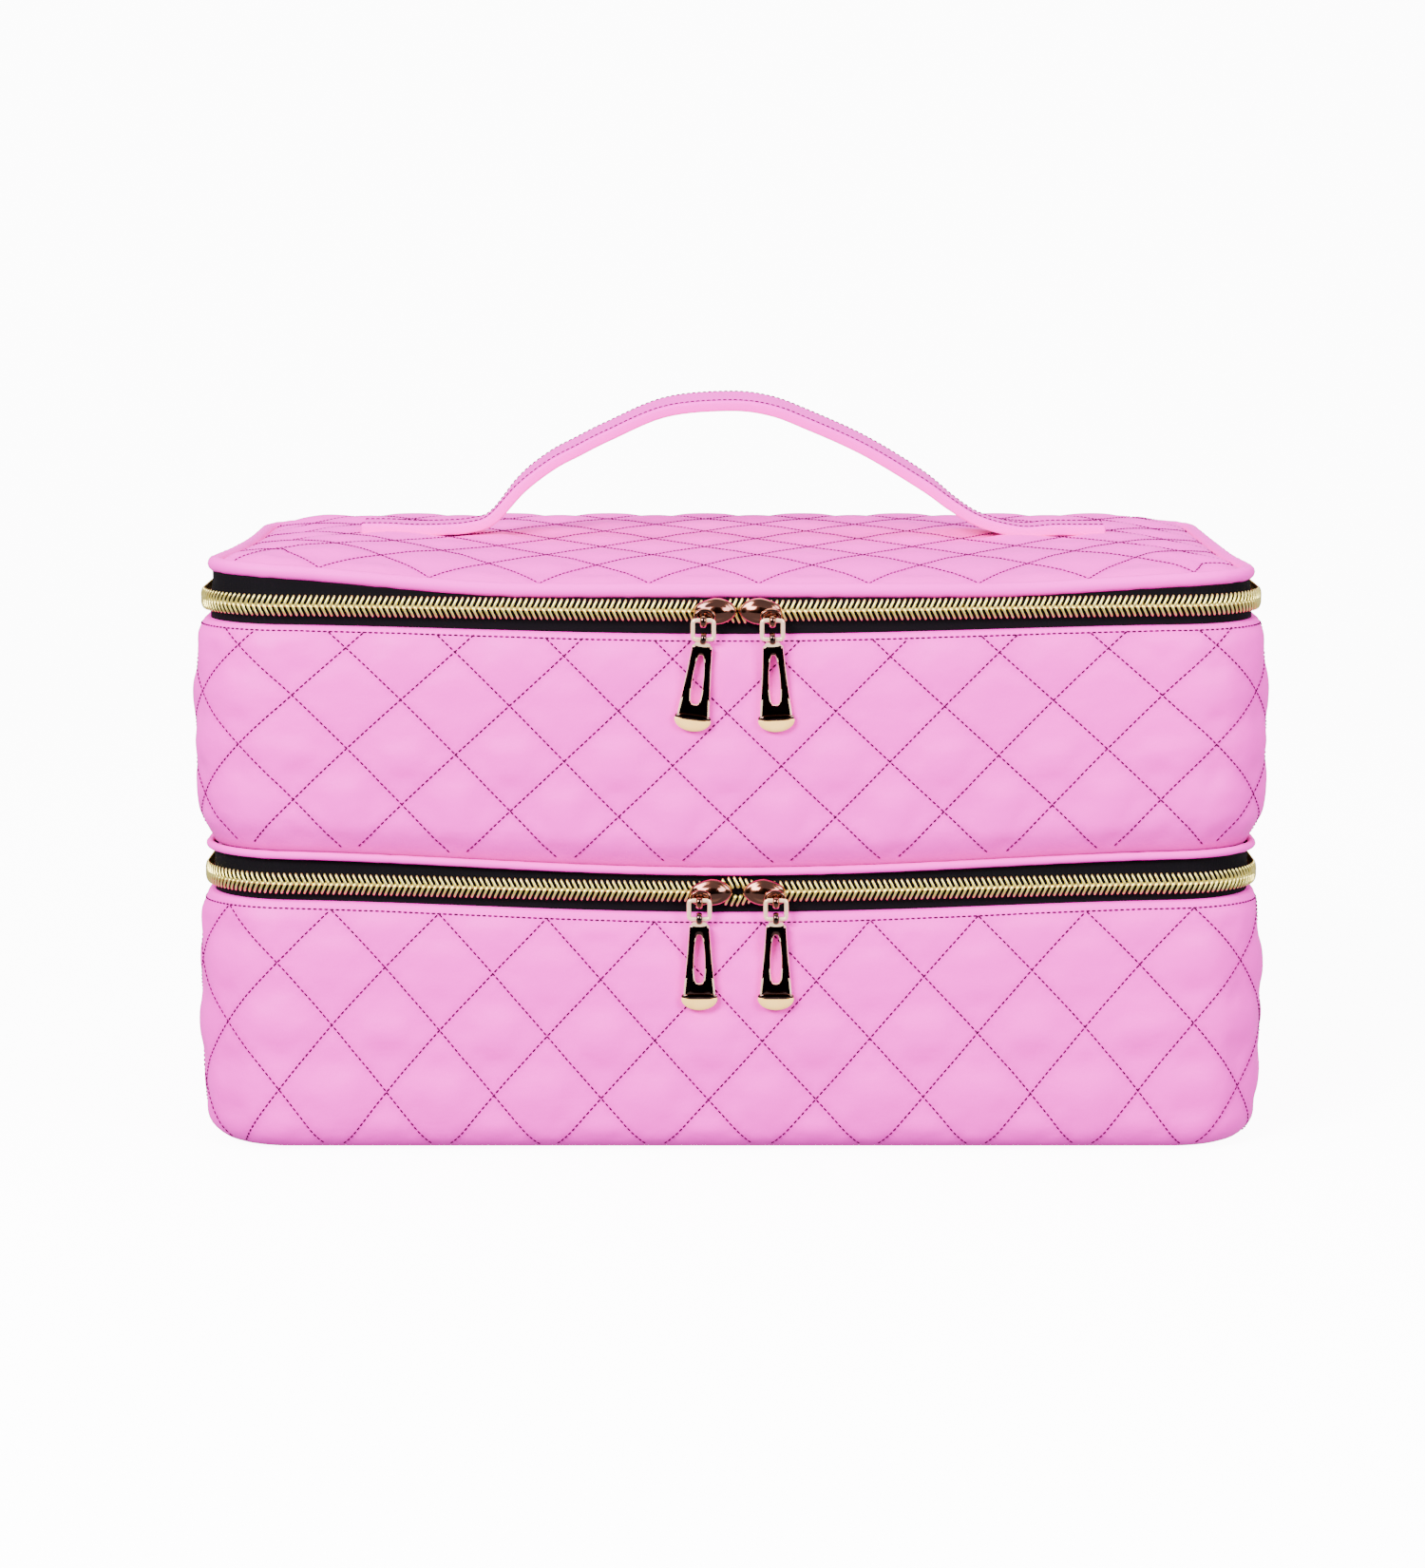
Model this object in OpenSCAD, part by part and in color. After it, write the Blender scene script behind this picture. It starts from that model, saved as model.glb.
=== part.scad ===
// Two-tier quilted makeup bag with a zip-off lid, two-way zips and a strap handle.
// Millimetres, +Z up, origin at the centre of the base, front of the bag towards -Y.

/* [Bag] */
// Width across the quilted walls
bag_w = 340; // [300:5:400]
// Depth from the front wall to the back wall
bag_d = 200; // [170:5:240]
// Radius of the upright corners in plan
corner_r = 28; // [22:1:34]
// Thickness of the padded, quilted walls
wall_t = 5; // [4:0.5:7]
// Radius of the rolled edge round the base
base_edge_r = 8; // [7:0.5:12]
// Height of the lower zip's centre line above the table
lower_zip_z = 86; // [70:1:110]
// Height of the upper zip's centre line above the table
upper_zip_z = 175.5; // [150:0.5:200]

/* [Fabric] */
// Thickness of the lining cloth
lining_t = 0.6; // [0.4:0.1:1]
// Thickness of the stiffener boards in the base and in the upper tier's floor
board_t = 1.2; // [0.8:0.1:2]
// Thickness of the upper tier's quilted floor
floor_t = 2.6; // [2:0.1:4]
// Thickness of the lid's quilted panel
lid_t = 4.5; // [3.5:0.5:7]
// Radius of the thin piping under the upper tier
tier_piping_r = 1.3; // [1:0.1:2]
// Radius of the thick piping round the lid
lid_piping_r = 2.3; // [1.8:0.1:3]
// Height of the binding over the inside seams
binding_h = 7; // [5:0.5:10]
// Thickness of the binding over the inside seams
binding_t = 1.4; // [1:0.1:1.4]
// Distance of each loose divider from the middle of the lower tray
divider_x = 55; // [40:5:70]
// Thickness of each loose divider
divider_t = 5; // [4:0.5:8]
// Height of each loose divider
divider_h = 62; // [50:1:65]

/* [Pocket] */
// Width of the mesh pocket under the lid
pocket_w = 262; // [200:2:280]
// Depth of the mesh pocket under the lid
pocket_d = 132; // [100:2:150]
// Width of the binding round the mesh pocket
pocket_binding_w = 9; // [6:1:12]

/* [Zip] */
// Distance from a zip's centre line to the fabric edge on each side
zip_band = 6.5; // [6.5:0.5:8]
// Height of the closed coil
coil_h = 7; // [6:0.5:7]
// Thickness of the coil, front to back
coil_t = 3; // [2.5:0.1:3]
// Thickness of the woven zip tape
tape_t = 0.8; // [0.5:0.1:0.8]
// Distance that the coil stands out from the fabric walls
coil_proud = 0.6; // [0.4:0.1:0.8]
// Half of the slot between the two coil halves
coil_slot = 0.6; // [0.6:0.05:0.8]
// Half of the back strip's width, which is where each zip ends
hinge_half = 128; // [110:1:130]

/* [Sliders] */
// Place where the two sliders of a zip meet, right of the middle
meet_x = 2; // [-20:1:20]
// Space between the noses of the upper sliders
upper_gap = 1; // [1:0.2:6]
// Space between the noses of the lower sliders
lower_gap = 3.6; // [1:0.2:6]
// Length of a slider along the zip
slider_l = 13.2; // [12:0.2:15]
// Height of a slider at its tail
slider_tail_h = 6.8; // [6:0.2:8]
// Height of a slider at its shoulders
slider_h = 8.2; // [7.8:0.2:9]
// Thickness of a slider's front and back plates
plate_t = 1.2; // [0.9:0.1:1.2]

/* [Pulls] */
// Width of the rectangular link, wire centre to wire centre
link_w = 6.4; // [5.6:0.2:8]
// Height of the rectangular link, wire centre to wire centre
link_h = 5.8; // [5:0.2:8]
// Radius of the link's wire
wire_r = 0.6; // [0.5:0.05:0.65]
// Length of a pull from its shoulders to where its round tip starts
pull_l = 24.4; // [18:0.2:30]
// Width of a pull at its shoulders
pull_top_w = 6.3; // [5.5:0.1:7]
// Width of a pull where its round tip starts
pull_end_w = 11.4; // [10:0.2:13]
// Depth of the round tip
pull_tip = 3.7; // [3:0.1:4.5]
// Thickness of a pull
pull_t = 1.8; // [1.4:0.1:2]
// Sideways lean of the upper left pull, in degrees
upper_left_lean = 7.6; // [-8:0.2:8]
// Sideways lean of the upper right pull, in degrees
upper_right_lean = -2.8; // [-8:0.2:8]

/* [Handle] */
// Height of the handle's highest point above the table
handle_top_z = 236; // [225:1:250]
// Radius of the handle's arch
handle_r = 96.6; // [92:0.2:110]
// Width of the handle strap
strap_w = 22; // [18:1:28]
// Thickness of the handle strap
strap_t = 2.8; // [2:0.2:4]
// Length of each flat tail that is sewn to the lid
tail_l = 46; // [30:1:50]

/* [Hidden] */
$fn = 48;

pink = "#f48fd0";
deep_pink = "#e077b8";
black = "#17131a";
gold = "#e0c878";
rose_gold = "#e8b48c";
board_grey = "#8c8880";

// Sides of the bag, counted a quarter turn at a time from +X
right_side = 0;
back_side = 1;
left_side = 2;
front_side = 3;

fit = 0.1;
edge_cut = 1.5;
lower_wall_top = lower_zip_z - zip_band;
tier_bottom = lower_zip_z + zip_band;
tier_wall_bottom = tier_bottom + floor_t;
tier_wall_top = upper_zip_z - zip_band;
lid_bottom = upper_zip_z + zip_band;
lid_top = lid_bottom + lid_t;
coil_back = coil_proud - coil_t;
tape_back = coil_back - tape_t;
coil_cut = 0.8;
strip_t = 1.6;
strip_front = 2;
strip_gap = 0.3;
lining_inset = wall_t + fit;
binding_inset = lining_inset + lining_t + fit;
divider_inset = binding_inset + binding_t + fit;
panel_inset = wall_t + lining_t;

front_y = -bag_d / 2;
plate_gap = 0.4;
plate_front_y = front_y - coil_proud - plate_gap - plate_t;
plate_back_y = front_y - tape_back + plate_gap;
web_x = 3.6;
web_l = 2.6;
web_t = 0.5;
nose_h = 3.2;
crown_l = 10;
crown_h = 3;
crown_t = 1.4;
lug_x = -3.8;
lug_z = -3.4;
lug_l = 2.6;
lug_r = 1.5;
bore_r = 0.75;
lug_y = plate_front_y - lug_r;
eye_l = 1.8;
eye_r = 1.5;
eye_bore_r = 0.85;
neck_h = 1.2;
slot_top = 3;
slot_end = 20.9;
slot_top_r = 1.85;
slot_end_r = 3.05;

handle_z = handle_top_z - handle_r;
arch_lift = 12.5;
arch_end_z = lid_top + arch_lift;
arch_half = acos((arch_end_z - handle_z) / handle_r);
tail_gap = 2;
tail_x = handle_r * sin(arch_half) + tail_gap;
tail_t = 2;

// ---- outlines and bands ----

module rounded_outline(inset) {
    r = corner_r - inset;
    square([bag_w - 2 * corner_r, bag_d - 2 * inset], center = true);
    square([bag_w - 2 * inset, bag_d - 2 * corner_r], center = true);
    for (x = [-1, 1], y = [-1, 1])
        translate([x * (bag_w / 2 - corner_r), y * (bag_d / 2 - corner_r)]) circle(r);
}

module slab(inset, low, high)
    translate([0, 0, low]) linear_extrude(high - low) rounded_outline(inset);

function side_is_long(k) = k == back_side || k == front_side;

// One straight run of a band: the profile's x is the distance outside the wall line, its y is height
module side_run(k, length, shift = 0) {
    reach = side_is_long(k) ? bag_d / 2 : bag_w / 2;
    rotate([0, 0, 90 * k]) translate([0, shift, 0]) rotate([90, 0, 0])
        linear_extrude(length, center = true) translate([reach, 0]) children();
}

module corner_run(k) {
    x = (k == 0 || k == 3) ? 1 : -1;
    y = (k == 0 || k == 1) ? 1 : -1;
    translate([x * (bag_w / 2 - corner_r), y * (bag_d / 2 - corner_r), 0]) rotate([0, 0, 90 * k])
        rotate_extrude(angle = 90) translate([corner_r, 0]) children();
}

function side_length(k) = (side_is_long(k) ? bag_w : bag_d) - 2 * corner_r;

module closed_band() {
    for (k = [0:3]) {
        side_run(k, side_length(k)) children();
        corner_run(k) children();
    }
}

// A band with a gap in the middle of the back, where the hinge strip is
module zip_band_run() {
    stub = side_length(back_side) / 2 - hinge_half;
    for (k = [0:3]) corner_run(k) children();
    for (k = [right_side, left_side, front_side]) side_run(k, side_length(k)) children();
    for (s = [-1, 1]) side_run(back_side, stub, s * (hinge_half + stub / 2)) children();
}

module band_box(outer, inner, low, high)
    translate([inner, low]) square([outer - inner, high - low]);

// ---- fabric pieces shared by the tiers and the lid ----

module wall_band(low, high)
    closed_band() polygon([[-wall_t, low], [0, low], [0, high - edge_cut], [-edge_cut, high],
        [-wall_t, high]]);

module tray_lining(floor_z, top_z) difference() {
    slab(lining_inset, floor_z, top_z);
    slab(lining_inset + lining_t, floor_z + lining_t, top_z + lining_t);
}

module seam_binding(low, high)
    closed_band() band_box(-binding_inset, -binding_inset - binding_t, low, high);

module tape_band(low, high) color(black) zip_band_run() band_box(coil_back, tape_back, low, high);

// Half of a zip's coil, from the slot between the halves to its outer edge
module coil_band(zip_z, up) color(gold) zip_band_run() {
    near = zip_z + up * coil_slot;
    far = zip_z + up * coil_h / 2;
    polygon([[coil_back, near], [coil_proud, near], [coil_proud, far - up * coil_cut],
        [coil_proud - coil_cut, far], [coil_back, far]]);
}

// Half of the strip across the back that holds two storeys together
module hinge_strip(low, high) color(pink)
    translate([-hinge_half + fit, bag_d / 2 - strip_front, low])
        cube([2 * (hinge_half - fit), strip_t, high - low]);

// ---- lower tier ----

module lower_base() color(pink) {
    slab(base_edge_r, 0, wall_t);
    closed_band() translate([-base_edge_r, base_edge_r]) intersection() {
        difference() {
            circle(base_edge_r);
            circle(base_edge_r - wall_t);
        }
        translate([0, -base_edge_r]) square(base_edge_r);
    }
}

module lower_board() color(board_grey) slab(base_edge_r + fit, wall_t, wall_t + board_t);

module lower_wall() color(pink) wall_band(base_edge_r, lower_wall_top);

module lower_lining() color(deep_pink) tray_lining(base_edge_r, lower_wall_top - fit);

module lower_binding() color(black) seam_binding(lower_wall_top - binding_h, lower_wall_top);

module lower_zip_tape() tape_band(lower_wall_top, lower_zip_z - coil_slot);

module lower_zip_coil() coil_band(lower_zip_z, -1);

module lower_hinge_strip() hinge_strip(lower_wall_top, lower_zip_z - strip_gap);

module divider(side) color(deep_pink)
    translate([side * divider_x - divider_t / 2, -bag_d / 2 + divider_inset, base_edge_r + lining_t])
        cube([divider_t, bag_d - 2 * divider_inset, divider_h]);

module divider_left() divider(-1);

module divider_right() divider(1);

// ---- upper tier ----

module tier_floor() color(pink)
    slab(2 * (tier_piping_r + fit), tier_bottom, tier_wall_bottom);

module tier_board() color(board_grey)
    slab(lining_inset, tier_wall_bottom, tier_wall_bottom + board_t);

module tier_wall() color(pink) wall_band(tier_wall_bottom, tier_wall_top);

module tier_lining() color(deep_pink) tray_lining(tier_wall_bottom + board_t, tier_wall_top - fit);

module tier_binding() color(black) seam_binding(tier_wall_top - binding_h, tier_wall_top);

module tier_piping() color(pink)
    closed_band() translate([-tier_piping_r - fit, tier_bottom + tier_piping_r]) circle(tier_piping_r);

module tier_bottom_tape() tape_band(lower_zip_z + coil_slot, tier_bottom);

module tier_bottom_coil() coil_band(lower_zip_z, 1);

module tier_bottom_strip() hinge_strip(lower_zip_z + strip_gap, tier_bottom);

module tier_top_tape() tape_band(tier_wall_top, upper_zip_z - coil_slot);

module tier_top_coil() coil_band(upper_zip_z, -1);

module tier_top_strip() hinge_strip(tier_wall_top, upper_zip_z - strip_gap);

// ---- lid ----

module lid_panel() color(pink) slab(panel_inset, lid_bottom, lid_top);

module lid_lining() color(deep_pink) slab(panel_inset + fit, lid_bottom - lining_t, lid_bottom);

module lid_piping() color(pink)
    closed_band() translate([-panel_inset + fit + lid_piping_r, lid_bottom + lid_piping_r])
        circle(lid_piping_r);

module lid_binding() color(black)
    seam_binding(lid_bottom - lining_t - binding_h / 2, lid_bottom - lining_t);

module lid_zip_tape() tape_band(upper_zip_z + coil_slot, lid_bottom);

module lid_zip_coil() coil_band(upper_zip_z, 1);

module lid_hinge_strip() hinge_strip(upper_zip_z + strip_gap, lid_bottom);

module pocket_plate(inset, low, high) {
    plate = [pocket_w - 2 * inset, pocket_d - 2 * inset, high - low];
    translate([-plate.x / 2, -plate.y / 2, low]) cube(plate);
}

module pocket_mesh() color(black)
    pocket_plate(pocket_binding_w + fit, lid_bottom - 2 * lining_t, lid_bottom - lining_t);

module pocket_binding() color(black) difference() {
    pocket_plate(0, lid_bottom - 3 * lining_t, lid_bottom - lining_t);
    pocket_plate(pocket_binding_w, lid_bottom - 4 * lining_t, lid_bottom);
}

module handle_tail(side) color(pink)
    translate([side * (tail_x + tail_l / 2) - tail_l / 2, -strap_w / 2, lid_top])
        cube([tail_l, strap_w, tail_t]);

module handle_tail_left() handle_tail(-1);

module handle_tail_right() handle_tail(1);

// ---- handle ----

module handle_strap() color(pink)
    translate([0, strap_w / 2, handle_z]) rotate([90, 0, 0]) rotate([0, 0, 90 - arch_half])
        rotate_extrude(angle = 2 * arch_half, $fn = 96)
            translate([handle_r - strap_t, 0]) square([strap_t, strap_w]);

// ---- sliders, links and pulls ----

module slider_outline() {
    tail = slider_tail_h / 2;
    side = slider_h / 2;
    nose = nose_h / 2;
    end = slider_l / 2;
    polygon([[-end, -tail], [0, -side], [web_x, -side], [end, -nose], [end, nose], [web_x, side],
        [0, side], [-end, tail]]);
}

module upright(front, thickness)
    translate([0, front + thickness, 0]) rotate([90, 0, 0]) linear_extrude(thickness) children();

module bar_x(x, y, z, r, length)
    translate([x, y, z]) rotate([0, 90, 0]) cylinder(r = r, h = length, center = true);

// A slider with its nose towards +X, on the zip's centre line
module slider_body() color(rose_gold) difference() {
    union() {
        upright(plate_front_y, plate_t) slider_outline();
        upright(plate_back_y, plate_t) slider_outline();
        translate([web_x, plate_front_y + plate_t / 2, -web_t / 2])
            cube([web_l, plate_back_y - plate_front_y, web_t]);
        translate([-crown_l / 2, plate_front_y - crown_t, -crown_h / 2])
            cube([crown_l, crown_t + fit, crown_h]);
        bar_x(lug_x, lug_y, lug_z, lug_r, lug_l);
        translate([lug_x - lug_l / 2, lug_y, lug_z]) cube([lug_l, lug_r + fit, lug_r]);
    }
    bar_x(lug_x, lug_y, lug_z, bore_r, 2 * lug_l);
}

module wire_link() color(rose_gold) translate([lug_x, lug_y, lug_z]) {
    for (z = [0, -link_h]) bar_x(0, 0, z, wire_r, link_w);
    for (x = [-1, 1]) translate([x * link_w / 2, 0, -link_h]) cylinder(r = wire_r, h = link_h);
    for (x = [-1, 1], z = [0, -link_h]) translate([x * link_w / 2, 0, z]) sphere(wire_r);
}

module pull_outline() {
    tip_r = (pow(pull_end_w / 2, 2) + pow(pull_tip, 2)) / (2 * pull_tip);
    polygon([[-pull_top_w / 2, 0], [pull_top_w / 2, 0], [pull_end_w / 2, -pull_l],
        [-pull_end_w / 2, -pull_l]]);
    intersection() {
        translate([0, tip_r - pull_l - pull_tip]) circle(tip_r);
        translate([-pull_end_w / 2, -pull_l - pull_tip]) square([pull_end_w, pull_tip]);
    }
}

module pull_slot() {
    translate([0, -slot_top - slot_top_r]) circle(slot_top_r);
    translate([0, -slot_end + slot_end_r]) circle(slot_end_r);
    polygon([[-slot_top_r, -slot_top - slot_top_r], [slot_top_r, -slot_top - slot_top_r],
        [slot_end_r, -slot_end + slot_end_r], [-slot_end_r, -slot_end + slot_end_r]]);
}

// A pull hanging from the lower bar of its link
module pull_tab(lean) color(rose_gold)
    translate([lug_x, lug_y, lug_z - link_h]) rotate([0, lean, 0]) difference() {
        union() {
            bar_x(0, 0, 0, eye_r, eye_l);
            translate([-eye_l / 2, -pull_t / 2, -eye_r - neck_h]) cube([eye_l, pull_t, eye_r + neck_h]);
            translate([0, 0, -eye_r]) upright(-pull_t / 2, pull_t) difference() {
                pull_outline();
                pull_slot();
            }
        }
        bar_x(0, 0, 0, eye_bore_r, 2 * eye_l);
    }

// Puts a piece of a slider on its zip: side -1 is left of the meeting place, 1 is right
module on_zip(zip_z, gap, side)
    translate([meet_x + side * (gap + slider_l) / 2, 0, zip_z]) scale([-side, 1, 1]) children();

module upper_slider_left() on_zip(upper_zip_z, upper_gap, -1) slider_body();

module upper_slider_right() on_zip(upper_zip_z, upper_gap, 1) slider_body();

module lower_slider_left() on_zip(lower_zip_z, lower_gap, -1) slider_body();

module lower_slider_right() on_zip(lower_zip_z, lower_gap, 1) slider_body();

module upper_link_left() on_zip(upper_zip_z, upper_gap, -1) wire_link();

module upper_link_right() on_zip(upper_zip_z, upper_gap, 1) wire_link();

module lower_link_left() on_zip(lower_zip_z, lower_gap, -1) wire_link();

module lower_link_right() on_zip(lower_zip_z, lower_gap, 1) wire_link();

module upper_pull_left() on_zip(upper_zip_z, upper_gap, -1) pull_tab(upper_left_lean);

module upper_pull_right() on_zip(upper_zip_z, upper_gap, 1) pull_tab(-upper_right_lean);

module lower_pull_left() on_zip(lower_zip_z, lower_gap, -1) pull_tab(0);

module lower_pull_right() on_zip(lower_zip_z, lower_gap, 1) pull_tab(0);

lower_base();
lower_board();
lower_wall();
lower_lining();
lower_binding();
lower_zip_tape();
lower_zip_coil();
lower_hinge_strip();
divider_left();
divider_right();
tier_floor();
tier_board();
tier_wall();
tier_lining();
tier_binding();
tier_piping();
tier_bottom_tape();
tier_bottom_coil();
tier_bottom_strip();
tier_top_tape();
tier_top_coil();
tier_top_strip();
lid_panel();
lid_lining();
lid_piping();
lid_binding();
lid_zip_tape();
lid_zip_coil();
lid_hinge_strip();
pocket_mesh();
pocket_binding();
handle_tail_left();
handle_tail_right();
handle_strap();
upper_slider_left();
upper_slider_right();
lower_slider_left();
lower_slider_right();
upper_link_left();
upper_link_right();
lower_link_left();
lower_link_right();
upper_pull_left();
upper_pull_right();
lower_pull_left();
lower_pull_right();
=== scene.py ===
import math

import bpy
from mathutils import Matrix, Vector


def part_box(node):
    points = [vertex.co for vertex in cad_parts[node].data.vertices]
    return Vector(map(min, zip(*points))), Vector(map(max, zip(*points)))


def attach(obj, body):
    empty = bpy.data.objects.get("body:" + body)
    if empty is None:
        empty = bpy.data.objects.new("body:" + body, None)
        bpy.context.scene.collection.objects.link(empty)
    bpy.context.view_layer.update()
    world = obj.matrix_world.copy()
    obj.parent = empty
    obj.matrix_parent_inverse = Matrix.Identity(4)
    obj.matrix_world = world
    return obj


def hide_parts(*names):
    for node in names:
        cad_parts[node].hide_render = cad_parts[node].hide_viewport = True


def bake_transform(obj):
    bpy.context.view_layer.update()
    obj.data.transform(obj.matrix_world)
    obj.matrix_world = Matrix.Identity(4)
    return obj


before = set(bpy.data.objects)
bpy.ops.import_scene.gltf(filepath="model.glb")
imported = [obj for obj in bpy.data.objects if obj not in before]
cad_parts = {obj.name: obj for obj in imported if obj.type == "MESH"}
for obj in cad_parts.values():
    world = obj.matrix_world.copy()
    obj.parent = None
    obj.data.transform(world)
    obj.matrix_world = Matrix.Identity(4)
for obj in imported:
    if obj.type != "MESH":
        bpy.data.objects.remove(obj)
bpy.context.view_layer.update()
mm = 0.001
print("frame loaded")


def clearSelection():
    if bpy.context.object and bpy.context.object.mode != "OBJECT":
        bpy.ops.object.mode_set(mode="OBJECT")
    bpy.ops.object.select_all(action="DESELECT")


def takeUp(piece):
    clearSelection()
    piece.select_set(True)
    bpy.context.view_layer.objects.active = piece


def named(name):
    piece = bpy.context.object
    piece.name = name
    piece.data.name = name
    return piece


def finishWith(piece, kind, **settings):
    takeUp(piece)
    bpy.ops.object.modifier_add(type=kind)
    modifier = piece.modifiers[-1]
    for setting, value in settings.items():
        setattr(modifier, setting, value)
    bpy.ops.object.modifier_apply(modifier=modifier.name)
    return piece


def smooth(piece, angle=None):
    takeUp(piece)
    if angle is None:
        bpy.ops.object.shade_smooth()
    else:
        bpy.ops.object.shade_smooth_by_angle(angle=math.radians(angle))
    return piece


def onMesh(piece, operator, **settings):
    # one mesh operator, run on the whole of the piece
    takeUp(piece)
    bpy.ops.object.mode_set(mode="EDIT")
    bpy.ops.mesh.select_all(action="SELECT")
    operator(**settings)
    bpy.ops.object.mode_set(mode="OBJECT")
    return piece


def faceOut(piece):
    return onMesh(piece, bpy.ops.mesh.normals_make_consistent, inside=False)


def gridSheet(name, columns, rows):
    # a square sheet from -1 to 1, to be reshaped
    bpy.ops.mesh.primitive_grid_add(x_subdivisions=columns, y_subdivisions=rows, size=2)
    return named(name)


def closedTube(name, segments, sides, place):
    # place(i, j) gives the point at segment i of the tube's run and side j of its section
    bpy.ops.mesh.primitive_torus_add(
        major_segments=segments, minor_segments=sides, major_radius=1, minor_radius=0.1)
    piece = named(name)
    for k, vertex in enumerate(piece.data.vertices):
        vertex.co = place(*divmod(k, sides))
    return piece


def withPaintedShade(piece, amounts=0.0):
    # painted shade: how much darker the satin finish is painted at each point, set along stitch lines and
    # creases where shade falls
    if isinstance(amounts, float):
        amounts = [amounts] * len(piece.data.vertices)
    mark = piece.data.attributes.new("paintedShade", "FLOAT", "POINT")
    mark.data.foreach_set("value", amounts)
    return piece


def reshape(piece, rule):
    for vertex in piece.data.vertices:
        vertex.co = rule(vertex.co.copy())
    piece.data.update()
    return piece


def joined(name, *pieces):
    takeUp(pieces[0])
    for piece in pieces:
        piece.select_set(True)
    bpy.ops.object.join()
    return named(name)


def paint(piece, material):
    piece.data.materials.clear()
    piece.data.materials.append(material)
    return piece


def fit(piece, body, slot, material, *nodes):
    if material:
        paint(piece, material)
    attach(piece, body)
    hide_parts(*nodes)
    return piece


def copies(name, pattern, places):
    # one mesh that holds a copy of the pattern at each place
    points = [vertex.co.copy() for vertex in pattern.data.vertices]
    sides = [tuple(face.vertices) for face in pattern.data.polygons]
    corners = []
    faces = []
    for place in places:
        first = len(corners)
        corners.extend(place @ point for point in points)
        faces.extend(tuple(first + k for k in side) for side in sides)
    mesh = bpy.data.meshes.new(name)
    mesh.from_pydata(corners, [], faces)
    mesh.polygons.foreach_set("use_smooth", [True] * len(faces))
    piece = bpy.data.objects.new(name, mesh)
    bpy.context.scene.collection.objects.link(piece)
    return piece


def discard(piece):
    bpy.data.objects.remove(piece)


def ease(t):
    t = min(max(t, 0.0), 1.0)
    return t * t * (3 - 2 * t)


# the bag's plan: u runs round it from the middle of the front, to the right first
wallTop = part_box("lower_wall")[1]
plan = {"halfWide": wallTop.x, "halfDeep": wallTop.y, "corner": 28 * mm}
straightX = plan["halfWide"] - plan["corner"]
straightY = plan["halfDeep"] - plan["corner"]
cornerRun = plan["corner"] * math.pi / 2
girth = 4 * (straightX + straightY + cornerRun)
lowerZip = (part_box("lower_zip_coil")[0].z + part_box("tier_bottom_coil")[1].z) / 2
upperZip = (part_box("tier_top_coil")[0].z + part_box("lid_zip_coil")[1].z) / 2


def outward(u):
    # point on the walls' outline and the way out from it
    run = abs(u)
    x, y, nx, ny = run, -plan["halfDeep"], 0.0, -1.0
    if run > straightX:
        run -= straightX
        turn = run / plan["corner"] - math.pi / 2
        nx, ny = math.cos(turn), math.sin(turn)
        x = straightX + plan["corner"] * nx
        y = -straightY + plan["corner"] * ny
        if run > cornerRun:
            run -= cornerRun
            x, y, nx, ny = plan["halfWide"], -straightY + run, 1.0, 0.0
            if run > 2 * straightY:
                run -= 2 * straightY
                turn = run / plan["corner"]
                nx, ny = math.cos(turn), math.sin(turn)
                x = straightX + plan["corner"] * nx
                y = straightY + plan["corner"] * ny
                if run > cornerRun:
                    x, y, nx, ny = straightX - (run - cornerRun), plan["halfDeep"], 0.0, 1.0
    side = 1 if u >= 0 else -1
    return Vector((side * x, y, 0)), Vector((side * nx, ny, 0))


def around(u, offset, z):
    point, out = outward(u)
    point = point + out * offset
    point.z = z
    return point


def droop(u, middle, ends, back=0.0):
    # how far a seam hangs below its drafted height, from the middle of the front to the back
    run = abs(u)
    front = straightX + 0.6 * cornerRun
    side = straightX + 1.4 * cornerRun + 2 * straightY
    if run < front:
        return middle + (ends - middle) * (0.5 - 0.5 * math.cos(math.pi * run / front))
    return ends + (back - ends) * ease((run - front) / (side - front))


def frontShare(u):
    # 1 on the front and back walls, 0 on the two sides
    return abs(outward(u)[1].y)


class Flow:
    def __init__(self, paintwork, socket):
        self.paintwork = paintwork
        self.socket = socket

    def maths(self, operation, first, second):
        return self.paintwork.node("Math", {"operation": operation}, {0: first, 1: second})

    def __add__(self, other):
        return self.maths("ADD", self, other)

    def __radd__(self, other):
        return self.maths("ADD", other, self)

    def __sub__(self, other):
        return self.maths("SUBTRACT", self, other)

    def __rsub__(self, other):
        return self.maths("SUBTRACT", other, self)

    def __mul__(self, other):
        return self.maths("MULTIPLY", self, other)

    def __rmul__(self, other):
        return self.maths("MULTIPLY", other, self)

    def sine(self):
        return self.maths("SINE", self, 0.0)

    def over(self, edge):
        return self.maths("GREATER_THAN", self, edge)

    def size(self):
        return self.maths("ABSOLUTE", self, 0.0)

    def clamped(self):
        return self.paintwork.node("Clamp", {}, {0: self})


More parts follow.
